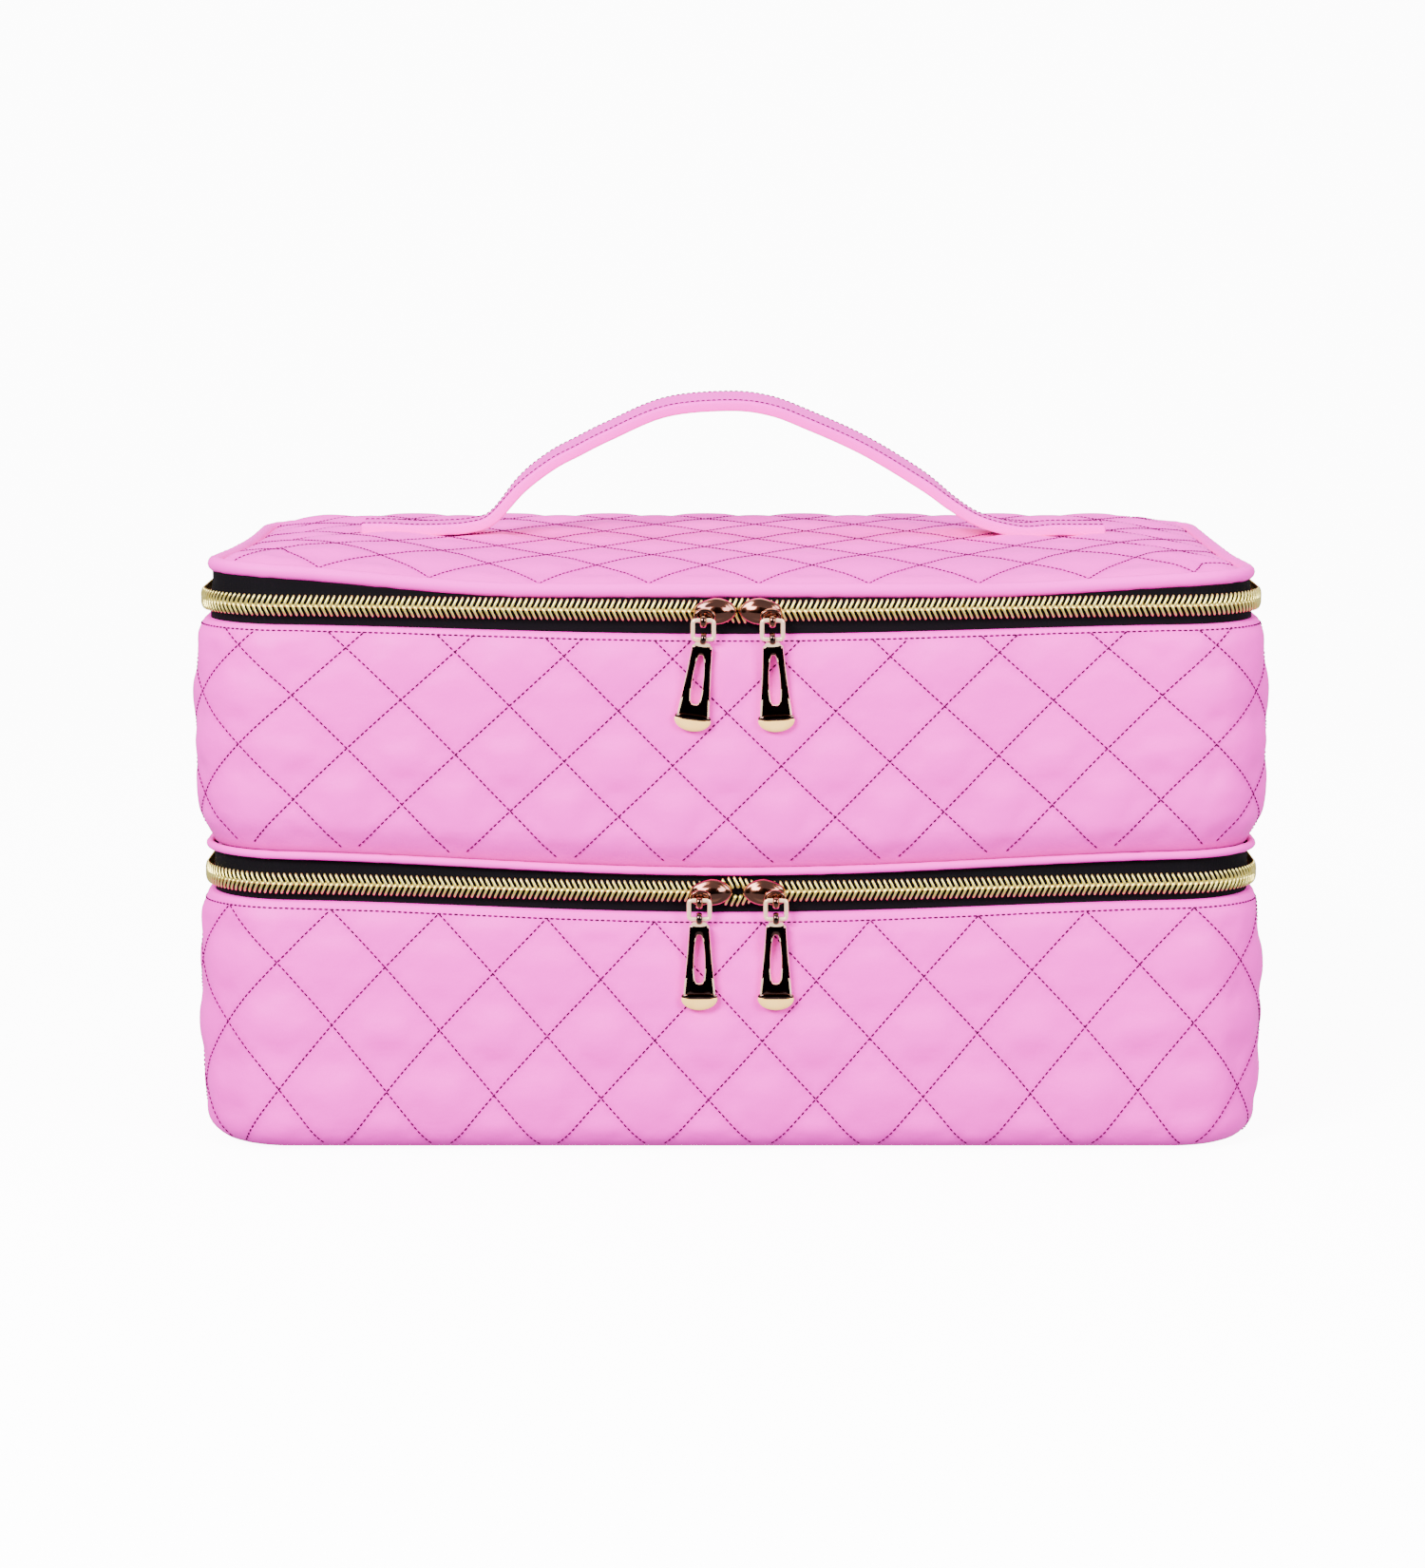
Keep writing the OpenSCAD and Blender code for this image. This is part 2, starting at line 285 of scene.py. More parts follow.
class Paintwork:
    def __init__(self, name, **fixed):
        self.material = bpy.data.materials.new(name)
        self.material.use_nodes = True
        self.tree = self.material.node_tree
        self.shader = self.tree.nodes["Principled BSDF"]
        for socket, value in fixed.items():
            self.shader.inputs[socket.replace("_", " ")].default_value = value

    def join(self, socket, value):
        if isinstance(value, Flow):
            self.tree.links.new(value.socket, socket)
        elif socket.type == "RGBA" and len(value) == 3:
            socket.default_value = (*value, 1.0)
        else:
            socket.default_value = value

    def node(self, kind, settings, sockets, out=0):
        made = self.tree.nodes.new("ShaderNode" + kind)
        for setting, value in settings.items():
            setattr(made, setting, value)
        for socket, value in sockets.items():
            self.join(made.inputs[socket], value)
        return Flow(self, made.outputs[out])

    def where(self):
        return self.node("TexCoord", {}, {}, "Object")

    def mapped(self):
        return self.node("UVMap", {}, {})

    def parts(self, vector):
        split = self.node("SeparateXYZ", {}, {0: vector})
        return [Flow(self, split.socket.node.outputs[k]) for k in range(3)]

    def noise(self, scale, detail=3.0, vector=None, stretch=None):
        vector = vector or self.where()
        if stretch:
            vector = self.node("Mapping", {}, {"Vector": vector, "Scale": stretch})
        return self.node("TexNoise", {}, {"Vector": vector, "Scale": scale, "Detail": detail})

    def mix(self, share, first, second):
        return self.node("MixRGB", {}, {0: share, 1: first, 2: second})

    def mark(self, name):
        return self.node("Attribute", {"attribute_name": name}, {}, "Fac")

    def bump(self, height, strength, distance, under=None):
        sockets = {"Height": height, "Strength": strength, "Distance": distance}
        if under:
            sockets["Normal"] = under
        return self.node("Bump", {}, sockets)

    def finish(self, **sockets):
        for socket, value in sockets.items():
            self.join(self.shader.inputs[socket.replace("_", " ")], value)
        return self.material


colours = {
    "pink": (0.985, 0.002, 0.60),
    # the satin's deeper pink: painted shade along creases and stitch lines, and random mottling
    "pinkShadeAndMottle": (0.56, 0.0, 0.34),
    "pinkLining": (0.95, 0.11, 0.57),
    "thread": (0.045, 0.0005, 0.022),
    "tape": (0.0010, 0.0006, 0.0012),
    "gold": (0.80, 0.64, 0.10),
    "goldPale": (0.98, 0.90, 0.38),
    # rose and dark are painted dark reflections: near-black metal colours standing in for the dark studio
    # that the polished slider and pull faces reflect
    "rose": (0.045, 0.012, 0.008),
    "dark": (0.020, 0.006, 0.006),
    "board": (0.30, 0.28, 0.25),
}


def weave(cloth, vector, threadsX, threadsY):
    # plain weave: two crossed sets of threads, in the cloth's own coordinates
    across, along, _ = cloth.parts(vector)
    return ((across * (threadsX * math.pi)).sine() * (along * (threadsY * math.pi)).sine()).size()


def satin(name, colour, shade, threads, wrinkle, roughness=0.55):
    cloth = Paintwork(name, Sheen_Weight=0.02, Sheen_Roughness=0.4, Specular_IOR_Level=0.22)
    cloud = cloth.noise(26.0)
    paintedShade = cloth.mark("paintedShade")
    # painted shade: the deeper pink is mixed in along the marked creases and stitch lines, plus random
    # mottling from the cloud noise
    share = (paintedShade * 0.42 + (cloud - 0.5) * 0.35).clamped()
    base = cloth.mix(share, colour, shade)
    threadsHeight = weave(cloth, cloth.mapped(), *threads)
    creases = cloth.noise(55.0, 4.0, stretch=(1.0, 1.0, 1.6)) * 1.0 + cloth.noise(150.0, 3.0) * 0.35
    folds = cloth.bump(creases, wrinkle, 0.0016)
    normal = cloth.bump(threadsHeight, 0.10, 0.00012, folds)
    return cloth.finish(Base_Color=base, Roughness=(cloud - 0.5) * 0.16 + roughness, Normal=normal)


def ribbed(name, colour, pale, rib, roughness):
    # woven tape: ribs run across it and a twill crosses them
    cloth = Paintwork(name, Specular_IOR_Level=0.08)
    x, y, z = cloth.parts(cloth.where())
    ribs = ((x + y + z) * (2 * math.pi / rib)).sine() * ((x - y + z) * (2 * math.pi / rib)).sine()
    lint = cloth.noise(420.0, 2.0)
    base = cloth.mix((lint * 0.5 + ribs * 0.12).clamped(), colour, pale)
    normal = cloth.bump(ribs, 0.35, 0.0002)
    return cloth.finish(Base_Color=base, Roughness=lint * 0.2 + roughness, Normal=normal)


def metal(name, colour, worn, roughness, grain, metallic=1.0, rim=None):
    # rim: painted reflection, a colour mixed in where the surface turns away from the eye, standing in for
    # the coppery glint at the edges
    finish = Paintwork(name, Metallic=metallic, Coat_Weight=0.5 if rim else 0.0, Coat_Roughness=0.05)
    smudge = finish.noise(grain, 3.0)
    base = finish.mix((smudge * 1.4 - 0.3).clamped(), colour, worn)
    if rim:
        # painted reflection: the rim colour grows toward the silhouette
        turned = finish.node("LayerWeight", {}, {"Blend": 0.5}, "Facing")
        base = finish.mix((turned * 1.9 - 0.35).clamped(), base, rim)
    fine = finish.noise(2400.0, 2.0)
    return finish.finish(
        Base_Color=base, Roughness=smudge * 0.1 + roughness, Normal=finish.bump(fine, 0.04, 0.00005)
    )


def netting(name, colour, cell):
    net = Paintwork(name, Roughness=0.7)
    x, y, _ = net.parts(net.where())
    row = ((x + y) * (math.pi / cell)).sine().size()
    column = ((x - y) * (math.pi / cell)).sine().size()
    strand = (1 - ((row - 0.34).over(0.0) * (column - 0.34).over(0.0))).clamped()
    return net.finish(
        Base_Color=net.mix(net.noise(300.0), colour, (0.03, 0.02, 0.03)), Alpha=strand * 0.97 + 0.02,
        Normal=net.bump(row * column, 0.3, 0.0002),
    )


def greyBoard(name, colour):
    board = Paintwork(name, Specular_IOR_Level=0.2)
    fleck = board.noise(700.0, 4.0)
    base = board.mix(fleck, colour, tuple(0.6 * c for c in colour))
    return board.finish(Base_Color=base, Roughness=fleck * 0.1 + 0.8, Normal=board.bump(fleck, 0.2, 0.0003))


quiltSatin = satin("quilted satin", colours["pink"], colours["pinkShadeAndMottle"], (1400, 300), 0.30)
plainSatin = satin("plain satin", colours["pink"], colours["pinkShadeAndMottle"], (700, 60), 0.22)
liningSatin = satin("lining satin", colours["pinkLining"], colours["pink"], (1400, 300), 0.5, 0.5)
pipingSatin = satin("piping satin", colours["pink"], colours["pinkShadeAndMottle"], (1600, 20), 0.16)
strapSatin = satin("strap satin", colours["pink"], colours["pinkShadeAndMottle"], (400, 30), 0.14)
stitchThread = ribbed("stitching thread", colours["thread"], (0.08, 0.002, 0.04), 0.0006, 0.6)
tapeWeave = ribbed("zip tape", colours["tape"], (0.004, 0.0025, 0.005), 0.0009, 0.7)
bindingWeave = ribbed("seam binding", colours["tape"], (0.035, 0.025, 0.04), 0.0014, 0.65)
coilGold = metal("zip coil gold", colours["gold"], colours["goldPale"], 0.30, 500.0)
# painted dark reflection: the slider's rose gold is coloured near-black, standing in for the dark studio it
# reflects, with a painted coppery rim
roseGoldPaintedDark = metal(
    "slider rose gold with painted dark reflection", colours["rose"], (0.16, 0.05, 0.028), 0.10, 120.0, 1.0, (0.85, 0.36, 0.17))
edgeGold = metal("link and pull edges", (1.0, 0.62, 0.36), (1.0, 0.78, 0.56), 0.2, 160.0, 0.5)
# painted dark reflection: the pull's polished gold face is coloured near-black, standing in for the dark
# studio it reflects, with a painted coppery rim
paintedDarkReflection = metal("pull face with painted dark reflection", colours["dark"], (0.10, 0.03, 0.022), 0.07, 70.0, 1.0, (0.5, 0.2, 0.1))
paleTip = metal("pull tip", (1.0, 0.56, 0.13), (1.0, 0.64, 0.20), 0.38, 200.0, 0.15)
blackNet = netting("pocket net", colours["tape"], 0.0022)
stiffBoard = greyBoard("stiffener board", colours["board"])
print("finishes mixed")


pressing = {
    "face": -102.4 * mm, "free": -6 * mm, "fadeX": 12 * mm, "fadeZ": 10 * mm,
    "reach": 146 * mm, "above": -6 * mm, "below": 41 * mm,
}


def pressedBy(x, z):
    # the hanging pulls hold the padded wall back behind them
    nearest = 1.0
    for zipZ in (lowerZip, upperZip):
        past = max(abs(x) - pressing["reach"], 0) / pressing["fadeX"]
        past += max(z - zipZ - pressing["above"], zipZ - pressing["below"] - z, 0) / pressing["fadeZ"]
        nearest = min(nearest, past)
    return pressing["face"] + pressing["free"] * ease(nearest)


def inflate(piece, pinned, settings):
    # cloth held along its seams and blown out between them
    rest = [vertex.co.copy() for vertex in piece.data.vertices]
    group = piece.vertex_groups.new(name="pinned")
    group.add(pinned, 1.0, "REPLACE")
    takeUp(piece)
    bpy.ops.object.modifier_add(type="CLOTH")
    modifier = piece.modifiers[-1]
    cloth = modifier.settings
    cloth.quality = 5
    cloth.mass = 0.2
    cloth.tension_stiffness = settings["stretch"]
    cloth.compression_stiffness = settings["stretch"]
    cloth.shear_stiffness = settings["stretch"] * 0.5
    cloth.bending_stiffness = settings["bend"]
    cloth.vertex_group_mass = "pinned"
    cloth.use_pressure = True
    cloth.uniform_pressure_force = settings["pressure"]
    cloth.shrink_min = -settings["slack"]
    cloth.effector_weights.gravity = 0
    modifier.collision_settings.use_collision = False
    modifier.point_cache.frame_end = settings["frames"]
    for step in range(1, settings["frames"] + 1):
        bpy.context.scene.frame_set(step)
    bpy.ops.object.modifier_apply(modifier=modifier.name)
    bpy.context.scene.frame_set(1)
    for vertex, start in zip(piece.data.vertices, rest):
        move = vertex.co - start
        if move.length > settings["cap"]:
            vertex.co = start + move.normalized() * settings["cap"]
        vertex.co.z = max(vertex.co.z, settings.get("floor", -1.0))
        vertex.co.y = max(vertex.co.y, pressedBy(vertex.co.x, vertex.co.z))
    piece.vertex_groups.clear()
    piece.data.update()


cushioning = {
    "stretch": 12.0, "bend": 0.4, "pressure": 3.6, "slack": 0.022, "frames": 20, "cap": 1.35 * mm,
}


def puffShape(i, j, across=12):
    # 0 on the stitch lines and 1 in the middle of a diamond
    return abs(math.sin(math.pi * (i + j) / across) * math.sin(math.pi * (i - j) / across))


def onStitch(i, j, across=12):
    return (i + j) % across == 0 or (i - j) % across == 0


def closedRing(name, columns, rows, place):
    # a grid rolled into a ring both ways: columns run round the bag, rows round the cross-section
    piece = gridSheet(name, columns, rows)
    marks = []
    for vertex in piece.data.vertices:
        i = round((vertex.co.x + 1) / 2 * columns) % columns
        j = round((vertex.co.y + 1) / 2 * rows) % rows
        marks.append(i * rows + j)
        vertex.co = place(i, j)
    tag = piece.data.attributes.new("gridPlace", "INT", "POINT")
    tag.data.foreach_set("value", marks)
    onMesh(piece, bpy.ops.mesh.remove_doubles, threshold=0.000001)
    found = [0] * len(piece.data.vertices)
    piece.data.attributes["gridPlace"].data.foreach_get("value", found)
    piece.data.attributes.remove(piece.data.attributes["gridPlace"])
    return piece, [divmod(mark, rows) for mark in found]


def quiltedRing(name, rows, build):
    # rows of (offset, height, quilt row or None) run round the cross-section from its lowest outer edge
    count = build["columns"]
    cell = girth / count
    middle = count // 2
    low, high = build["low"], build["high"]
    paintedShade = []
    pinned = []
    grid = {}

    def place(i, j):
        i -= middle
        offset, z, row = rows[j]
        u = build["start"] + i * cell
        share = min(max((z - low) / (high - low), 0.0), 1.0)
        swell = math.sin(math.pi * share) ** 0.8 if 0 < share < 1 else 0.0
        outer = row is not None
        bulge = 0.0
        if outer:
            facing = frontShare(u)
            bulge = (build["bulgeFront"] * facing + build["bulgeSide"] * (1 - facing)) * swell
            bulge += build["puff"] * puffShape(i, row) ** 0.5 * build["fade"](row)
        lower = droop(u, *build["droopLow"])
        upper = droop(u, *build["droopHigh"])
        z += lower * (1 - share) + upper * share
        lift = (1 - math.cos(min(abs(u) / build["riseRun"], 1) * math.pi)) / 2
        z += build["rise"] * swell * lift * frontShare(u)
        return around(u, offset + bulge, z)

    piece, places = closedRing(name, count, len(rows), place)
    for k, (i, j) in enumerate(places):
        i -= middle
        row = rows[j][2]
        outer = row is not None
        held = not outer or onStitch(i, row) or build["fade"](row) == 0
        if held:
            pinned.append(k)
        # painted shade: a darker band along the bottom crease where the wall tucks under, darkest on the
        # stitch lines and a little darker beside them
        foot = max(0.0, build["crease"] - 0.6 * max(j - 2, 0))
        paintedShade.append(max(foot, 1.0 if outer and onStitch(i, row) else 0.3 if held and outer else 0.0))
        if outer:
            grid[i, row] = k
    piece.data.update()
    withPaintedShade(piece, paintedShade)
    inflate(piece, pinned, {**cushioning, "floor": build["floor"]})
    seamPoints = {key: piece.data.vertices[k].co.copy() for key, k in grid.items()}
    finishWith(piece, "SUBSURF", levels=1, render_levels=1)
    smooth(piece)
    return piece, seamPoints


def upperRows():
    # the upper tier's wall: tucked under, up the outside, over the hem and down the inside
    build = upperBuild
    rows = [(-3.8, 94.2, None), (-2.9, 94.6, None), (-2.5, 95.6, None)]
    for k in range(7, 33):
        z = 77.15 + build["rowHeight"] * k
        rows.append((-2.3 * (1 - ease((z - 95.5) / 9.5)), z, k))
    rows += [(-0.05, 167.6, None), (-0.45, 168.6, None), (-1.5, 169.0, None), (-3.2, 169.0, None)]
    rows += [(-4.6, 168.5, None), (-5.0, 167.0, None), (-5.0, 150.0, None), (-5.0, 130.0, None)]
    rows += [(-5.0, 112.0, None), (-5.0, 98.0, None), (-4.6, 95.4, None)]
    return [(offset * mm, z * mm, row) for offset, z, row in rows]


upperBuild = {
    "columns": 360, "start": -1.4 * mm, "rowHeight": 16.85 / 6, "low": 94 * mm, "high": 169 * mm,
    "bulgeFront": 1.6 * mm, "bulgeSide": 2.2 * mm, "puff": 1.0 * mm, "rise": 2.5 * mm, "riseRun": 0.17,
    "droopLow": (-2.4 * mm, 3.2 * mm), "droopHigh": (-1.8 * mm, 1.4 * mm), "floor": 0.05,
    # crease: strength of the painted shade band along the wall's bottom crease
    "crease": 1.9, "fade": lambda row: min(1.0, (row - 7) / 2, 32 - row),
}
upperWall, upperSeams = quiltedRing("upperTierWall", upperRows(), upperBuild)
fit(upperWall, "upper_tier", "quilted_fabric", quiltSatin, "tier_wall")
print("upper wall sewn")


def lowerRows():
    # the lower tier's wall rolls under the base edge
    build = lowerBuild
    edge = 8.0
    step = build["rowHeight"] / edge
    rows = [(-14.0, 0.25, None), (-11.0, 0.05, None)]
    for k in range(-6, -3):
        turn = (k + 3) * step
        rows.append((-edge + edge * math.cos(turn), edge + edge * math.sin(turn), k))
    rows += [(0.0, 17.7 + build["rowHeight"] * k, k) for k in range(-3, 19)]
    rows += [(-0.05, 78.0, None), (-0.45, 79.1, None), (-1.5, 79.5, None), (-3.2, 79.5, None)]
    rows += [(-4.6, 79.0, None), (-5.0, 77.6, None), (-5.0, 60.0, None), (-5.0, 42.0, None)]
    rows += [(-5.0, 25.0, None), (-5.3, 11.0, None), (-7.0, 7.0, None), (-10.0, 5.0, None)]
    rows += [(-14.0, 4.6, None)]
    return [(offset * mm, z * mm, row) for offset, z, row in rows]


lowerBuild = {
    "columns": 360, "start": -7.3 * mm, "rowHeight": 19.6 / 6, "low": 4 * mm, "high": 79.5 * mm,
    "bulgeFront": 1.4 * mm, "bulgeSide": 2.0 * mm, "puff": 1.0 * mm, "rise": 4.5 * mm, "riseRun": 0.17,
    "droopLow": (0.0, 0.0), "droopHigh": (-1.6 * mm, 2.6 * mm), "floor": 0.05 * mm,
    "crease": 0.0, "fade": lambda row: min(1.0, (row + 5) / 2, 18 - row) if row > -5 else 0.0,
}
lowerWall, lowerSeams = quiltedRing("lowerTierWall", lowerRows(), lowerBuild)
fit(lowerWall, "lower_tier", "quilted_fabric", quiltSatin, "lower_wall")
print("lower wall sewn")


lidBuild = {
    "columns": 114, "rows": 56, "inset": 4.3 * mm,
    "edge": 185.2 * mm, "dome": 4.9 * mm, "domeRun": 46 * mm, "roll": 1.3 * mm,
    "puff": 0.75 * mm, "thick": 3.0 * mm, "phase": (3, 9), "narrow": 0.018,
    "frontDrop": -3.3 * mm, "leftLift": 3.4 * mm, "rightLift": 0.6 * mm,
}


def lidSag(x, y):
    # the lid hangs low along the middle of the front and rides up at its front corners
    side = ease((-x - 0.06) / 0.105) * (lidBuild["leftLift"] - lidBuild["frontDrop"])
    side += ease((x - 0.075) / 0.09) * (lidBuild["rightLift"] - lidBuild["frontDrop"])
    return (lidBuild["frontDrop"] + side) * ease((0.045 - y) / 0.135)


def planPoint(a, b, inset):
    # a square from -1 to 1 laid onto the rounded plan of the bag
    halfX, halfY = plan["halfWide"] - inset, plan["halfDeep"] - inset
    radius = plan["corner"] - inset
    x, y = a * halfX, b * halfY
    pastX, pastY = (abs(x) - halfX + radius) / radius, (abs(y) - halfY + radius) / radius
    if pastX > 0 and pastY > 0:
        reach = max(pastX, pastY)
        if pastX >= pastY:
            turn = math.pi / 4 * pastY / pastX
        else:
            turn = math.pi / 2 - math.pi / 4 * pastX / pastY
        x = math.copysign(halfX - radius + radius * reach * math.cos(turn), x)
        y = math.copysign(halfY - radius + radius * reach * math.sin(turn), y)
    return x, y


def edgeDistance(x, y, inset):
    halfX, halfY = plan["halfWide"] - inset, plan["halfDeep"] - inset
    radius = plan["corner"] - inset
    pastX, pastY = abs(x) - halfX + radius, abs(y) - halfY + radius
    if pastX > 0 and pastY > 0:
        return max(radius - math.hypot(pastX, pastY), 0.0)
    return min(halfX - abs(x), halfY - abs(y))


def narrowing(y, build=lidBuild):
    # the lid is drawn in a little at its two ends, behind the front corners
    return 1 - build.get("narrow", 0.0) * ease((y + 0.1) / 0.07)


def quiltedPanel(name, build, height, simulate=True):
    columns, rows = build["columns"], build["rows"]
    piece = gridSheet(name, columns, rows)
    paintedShade = []
    pinned = []
    grid = {}
    for k, vertex in enumerate(piece.data.vertices):
        i = round(vertex.co.x * columns / 2)
        j = round(vertex.co.y * rows / 2)
        x, y = planPoint(vertex.co.x, vertex.co.y, build["inset"])
        near = edgeDistance(x, y, build["inset"])
        across, along = i + build["phase"][0], j + build["phase"][1]
        puff = build["puff"] * puffShape(across, along) ** 0.6 * ease(near / (5 * mm))
        vertex.co = (x * narrowing(y, build), y, height(x, y, near) + puff)
        held = onStitch(across, along) or near < 3.5 * mm
        if held:
            pinned.append(k)
        # painted shade: darker on the stitch lines and a little darker along the held edge
        paintedShade.append(1.0 if onStitch(across, along) else 0.4 if held else 0.0)
        if near > 2.0 * mm:
            grid[across, along] = k
    withPaintedShade(piece, paintedShade)
    if simulate:
        inflate(piece, pinned, {**cushioning, "slack": 0.02, "pressure": 3.0, "cap": 0.8 * mm})
    seams = {key: piece.data.vertices[k].co.copy() for key, k in grid.items()}
    finishWith(piece, "SUBSURF", levels=1, render_levels=1)
    finishWith(piece, "SOLIDIFY", thickness=build["thick"], offset=-1)
    smooth(piece)
    return piece, seams


def lidHeight(x, y, near):
    rise = 1 - (1 - min(near / lidBuild["domeRun"], 1.0)) ** 2.4
    roll = lidBuild["roll"] * (1 - min(near / (4 * mm), 1.0)) ** 2
    return lidBuild["edge"] + lidSag(x, y) + lidBuild["dome"] * rise - roll


lidPanel, lidSeams = quiltedPanel("lidPanel", lidBuild, lidHeight)
fit(lidPanel, "lid", "quilted_fabric", quiltSatin, "lid_panel")
print("lid sewn")


def tubeRound(name, radius, offset, height, segments=256, sides=12):
    # a rolled edge that follows the bag's plan
    def place(i, j):
        u = (i - segments / 2) * girth / segments
        turn = 2 * math.pi * j / sides
        pucker = 1 + 0.05 * math.sin(u * 620) * math.sin(u * 91 + 2)
        level = height(u, around(u, offset, 0))
        return around(u, offset + radius * pucker * math.cos(turn), level + radius * pucker * math.sin(turn))

    piece = closedTube(name, segments, sides, place)
    smooth(piece)
    return withPaintedShade(piece)


def drawnIn(piece):
    return reshape(piece, lambda p: Vector((p.x * narrowing(p.y), p.y, p.z)))


lidPiping = tubeRound(
    "lidPiping", 2.3 * mm, -3.2 * mm, lambda u, place: 184.3 * mm + lidSag(place.x, place.y))
drawnIn(lidPiping)
fit(lidPiping, "lid", "piping", pipingSatin, "lid_piping")


def tierEdge(u):
    return 93.6 * mm + droop(u, *upperBuild["droopLow"])


tierPiping = tubeRound("tierPiping", 1.3 * mm, -1.2 * mm, lambda u, place: tierEdge(u))
fit(tierPiping, "upper_tier", "piping", pipingSatin, "tier_piping")
print("edges piped")


zipRun = straightX + 2 * cornerRun + 2 * straightY + 14 * mm
coilBuild = {
    "pitch": 1.838 * mm, "wire": 0.56 * mm, "reach": 3.45 * mm, "cross": -0.55 * mm, "lean": 1.25 * mm,
    "crown": 0.75 * mm, "depth": 0.75 * mm, "head": 1.32, "neck": 0.46,
    "sag": {"upper": (-0.7 * mm, 1.1 * mm), "lower": (-1.1 * mm, 1.7 * mm)},
    "part": {"upper": 0.7 * mm, "lower": 1.5 * mm}, "partAt": 2 * mm, "partRun": 5 * mm,
}


def zipName(centre):
    return "upper" if centre > 0.13 else "lower"


def zipSag(u, centre):
    return droop(u, *coilBuild["sag"][zipName(centre)])


def coilTooth(up, lean):
    # one turn of the coil: a bent wire with a swollen head that crosses the middle line
    bpy.ops.mesh.primitive_uv_sphere_add(segments=6, ring_count=8, radius=1)
    tooth = named("coilTooth")
    low, high = coilBuild["cross"], coilBuild["reach"]

    def bend(point):
        along = (point.z + 1) / 2
        spread = coilBuild["wire"] * (coilBuild["head"] - coilBuild["neck"] * ease((along - 0.12) / 0.3))
        z = low + (high - low) * along
        side = math.hypot(point.x, point.y)
        full = min(1.0, side * 1.7) / side if side > 1e-6 else 0.0
        out = coilBuild["crown"] * math.sin(math.pi * min(along * 0.85 + 0.12, 1)) - coilBuild["depth"]
        swing = lean * coilBuild["lean"] * ease((along - 0.1) / 0.9)
        return Vector((point.x * full * spread + swing, -point.y * full * spread * 0.9 + out, up * z))

    reshape(tooth, bend)
    faceOut(tooth)
    return tooth


def zipHalf(name, centre, up, lean, body, *nodes):
    tooth = coilTooth(up, lean)
    places = []
    count = int(2 * zipRun / coilBuild["pitch"])
    for k in range(count):
        u = -zipRun + (k + (0.25 if up > 0 else 0.75)) * coilBuild["pitch"]
        place, out = outward(u)
        near = math.exp(-((u - coilBuild["partAt"]) / coilBuild["partRun"]) ** 2)
        place.z = centre + zipSag(u, centre) + up * (coilBuild["part"][zipName(centre)] * near)
        along = Vector((-out.y, out.x, 0))
        turn = Matrix((along, out, Vector((0, 0, 1)))).transposed().to_4x4()
        places.append(Matrix.Translation(place) @ turn)
    piece = copies(name, tooth, places)
    discard(tooth)
    return fit(piece, body, "zip_coil", coilGold, *nodes)


zipHalf("lowerZipCoilBottom", lowerZip, -1, -1, "lower_tier", "lower_zip_coil")
zipHalf("lowerZipCoilTop", lowerZip, 1, -1, "upper_tier", "tier_bottom_coil")
zipHalf("upperZipCoilBottom", upperZip, -1, 1, "upper_tier", "tier_top_coil")
zipHalf("upperZipCoilTop", upperZip, 1, 1, "lid", "lid_zip_coil")


def tapeBand(name, low, high, body, *nodes):
    # woven tape behind a coil half; low and high give its edges along the bag
    piece = gridSheet(name, 300, 4)

    def wrap(point):
        u = point.x * zipRun
        share = (point.y + 1) / 2
        back = -2.4 * mm - 0.25 * mm * math.sin(math.pi * share)
        return around(u, back, low(u) * (1 - share) + high(u) * share)

    def draw(p):
        share = ease((p.z - upperZip) / (8 * mm))
        return Vector((p.x * (1 + (narrowing(p.y) - 1) * share), p.y, p.z))

    reshape(piece, wrap)
    if body == "lid":
        reshape(piece, draw)
    faceOut(piece)
    finishWith(piece, "SOLIDIFY", thickness=0.7 * mm, offset=-1)
    smooth(piece, 40)
    return fit(piece, body, "zip_tape", tapeWeave, *nodes)


def lidTapeTop(u):
    place = around(u, -3.2 * mm, 0)
    return 184.0 * mm + lidSag(place.x, place.y)


def zipLine(centre, shift):
    return lambda u: centre + zipSag(u, centre) + shift


tapeBand("lowerZipTapeBottom", lambda u: 76 * mm, zipLine(lowerZip, -0.15 * mm),
         "lower_tier", "lower_zip_tape")
tapeBand("lowerZipTapeTop", zipLine(lowerZip, 0.15 * mm), tierEdge, "upper_tier", "tier_bottom_tape")
tapeBand("upperZipTapeBottom", lambda u: 166 * mm, zipLine(upperZip, -0.15 * mm),
         "upper_tier", "tier_top_tape")
tapeBand("upperZipTapeTop", zipLine(upperZip, 0.15 * mm), lidTapeTop, "lid", "lid_zip_tape")
print("zips laid")


hingeBuild = {
    "halfWide": 128 * mm, "back": 99.4 * mm, "axis": 98.8 * mm, "dip": 0.5 * mm, "ripple": 0.15 * mm,
}


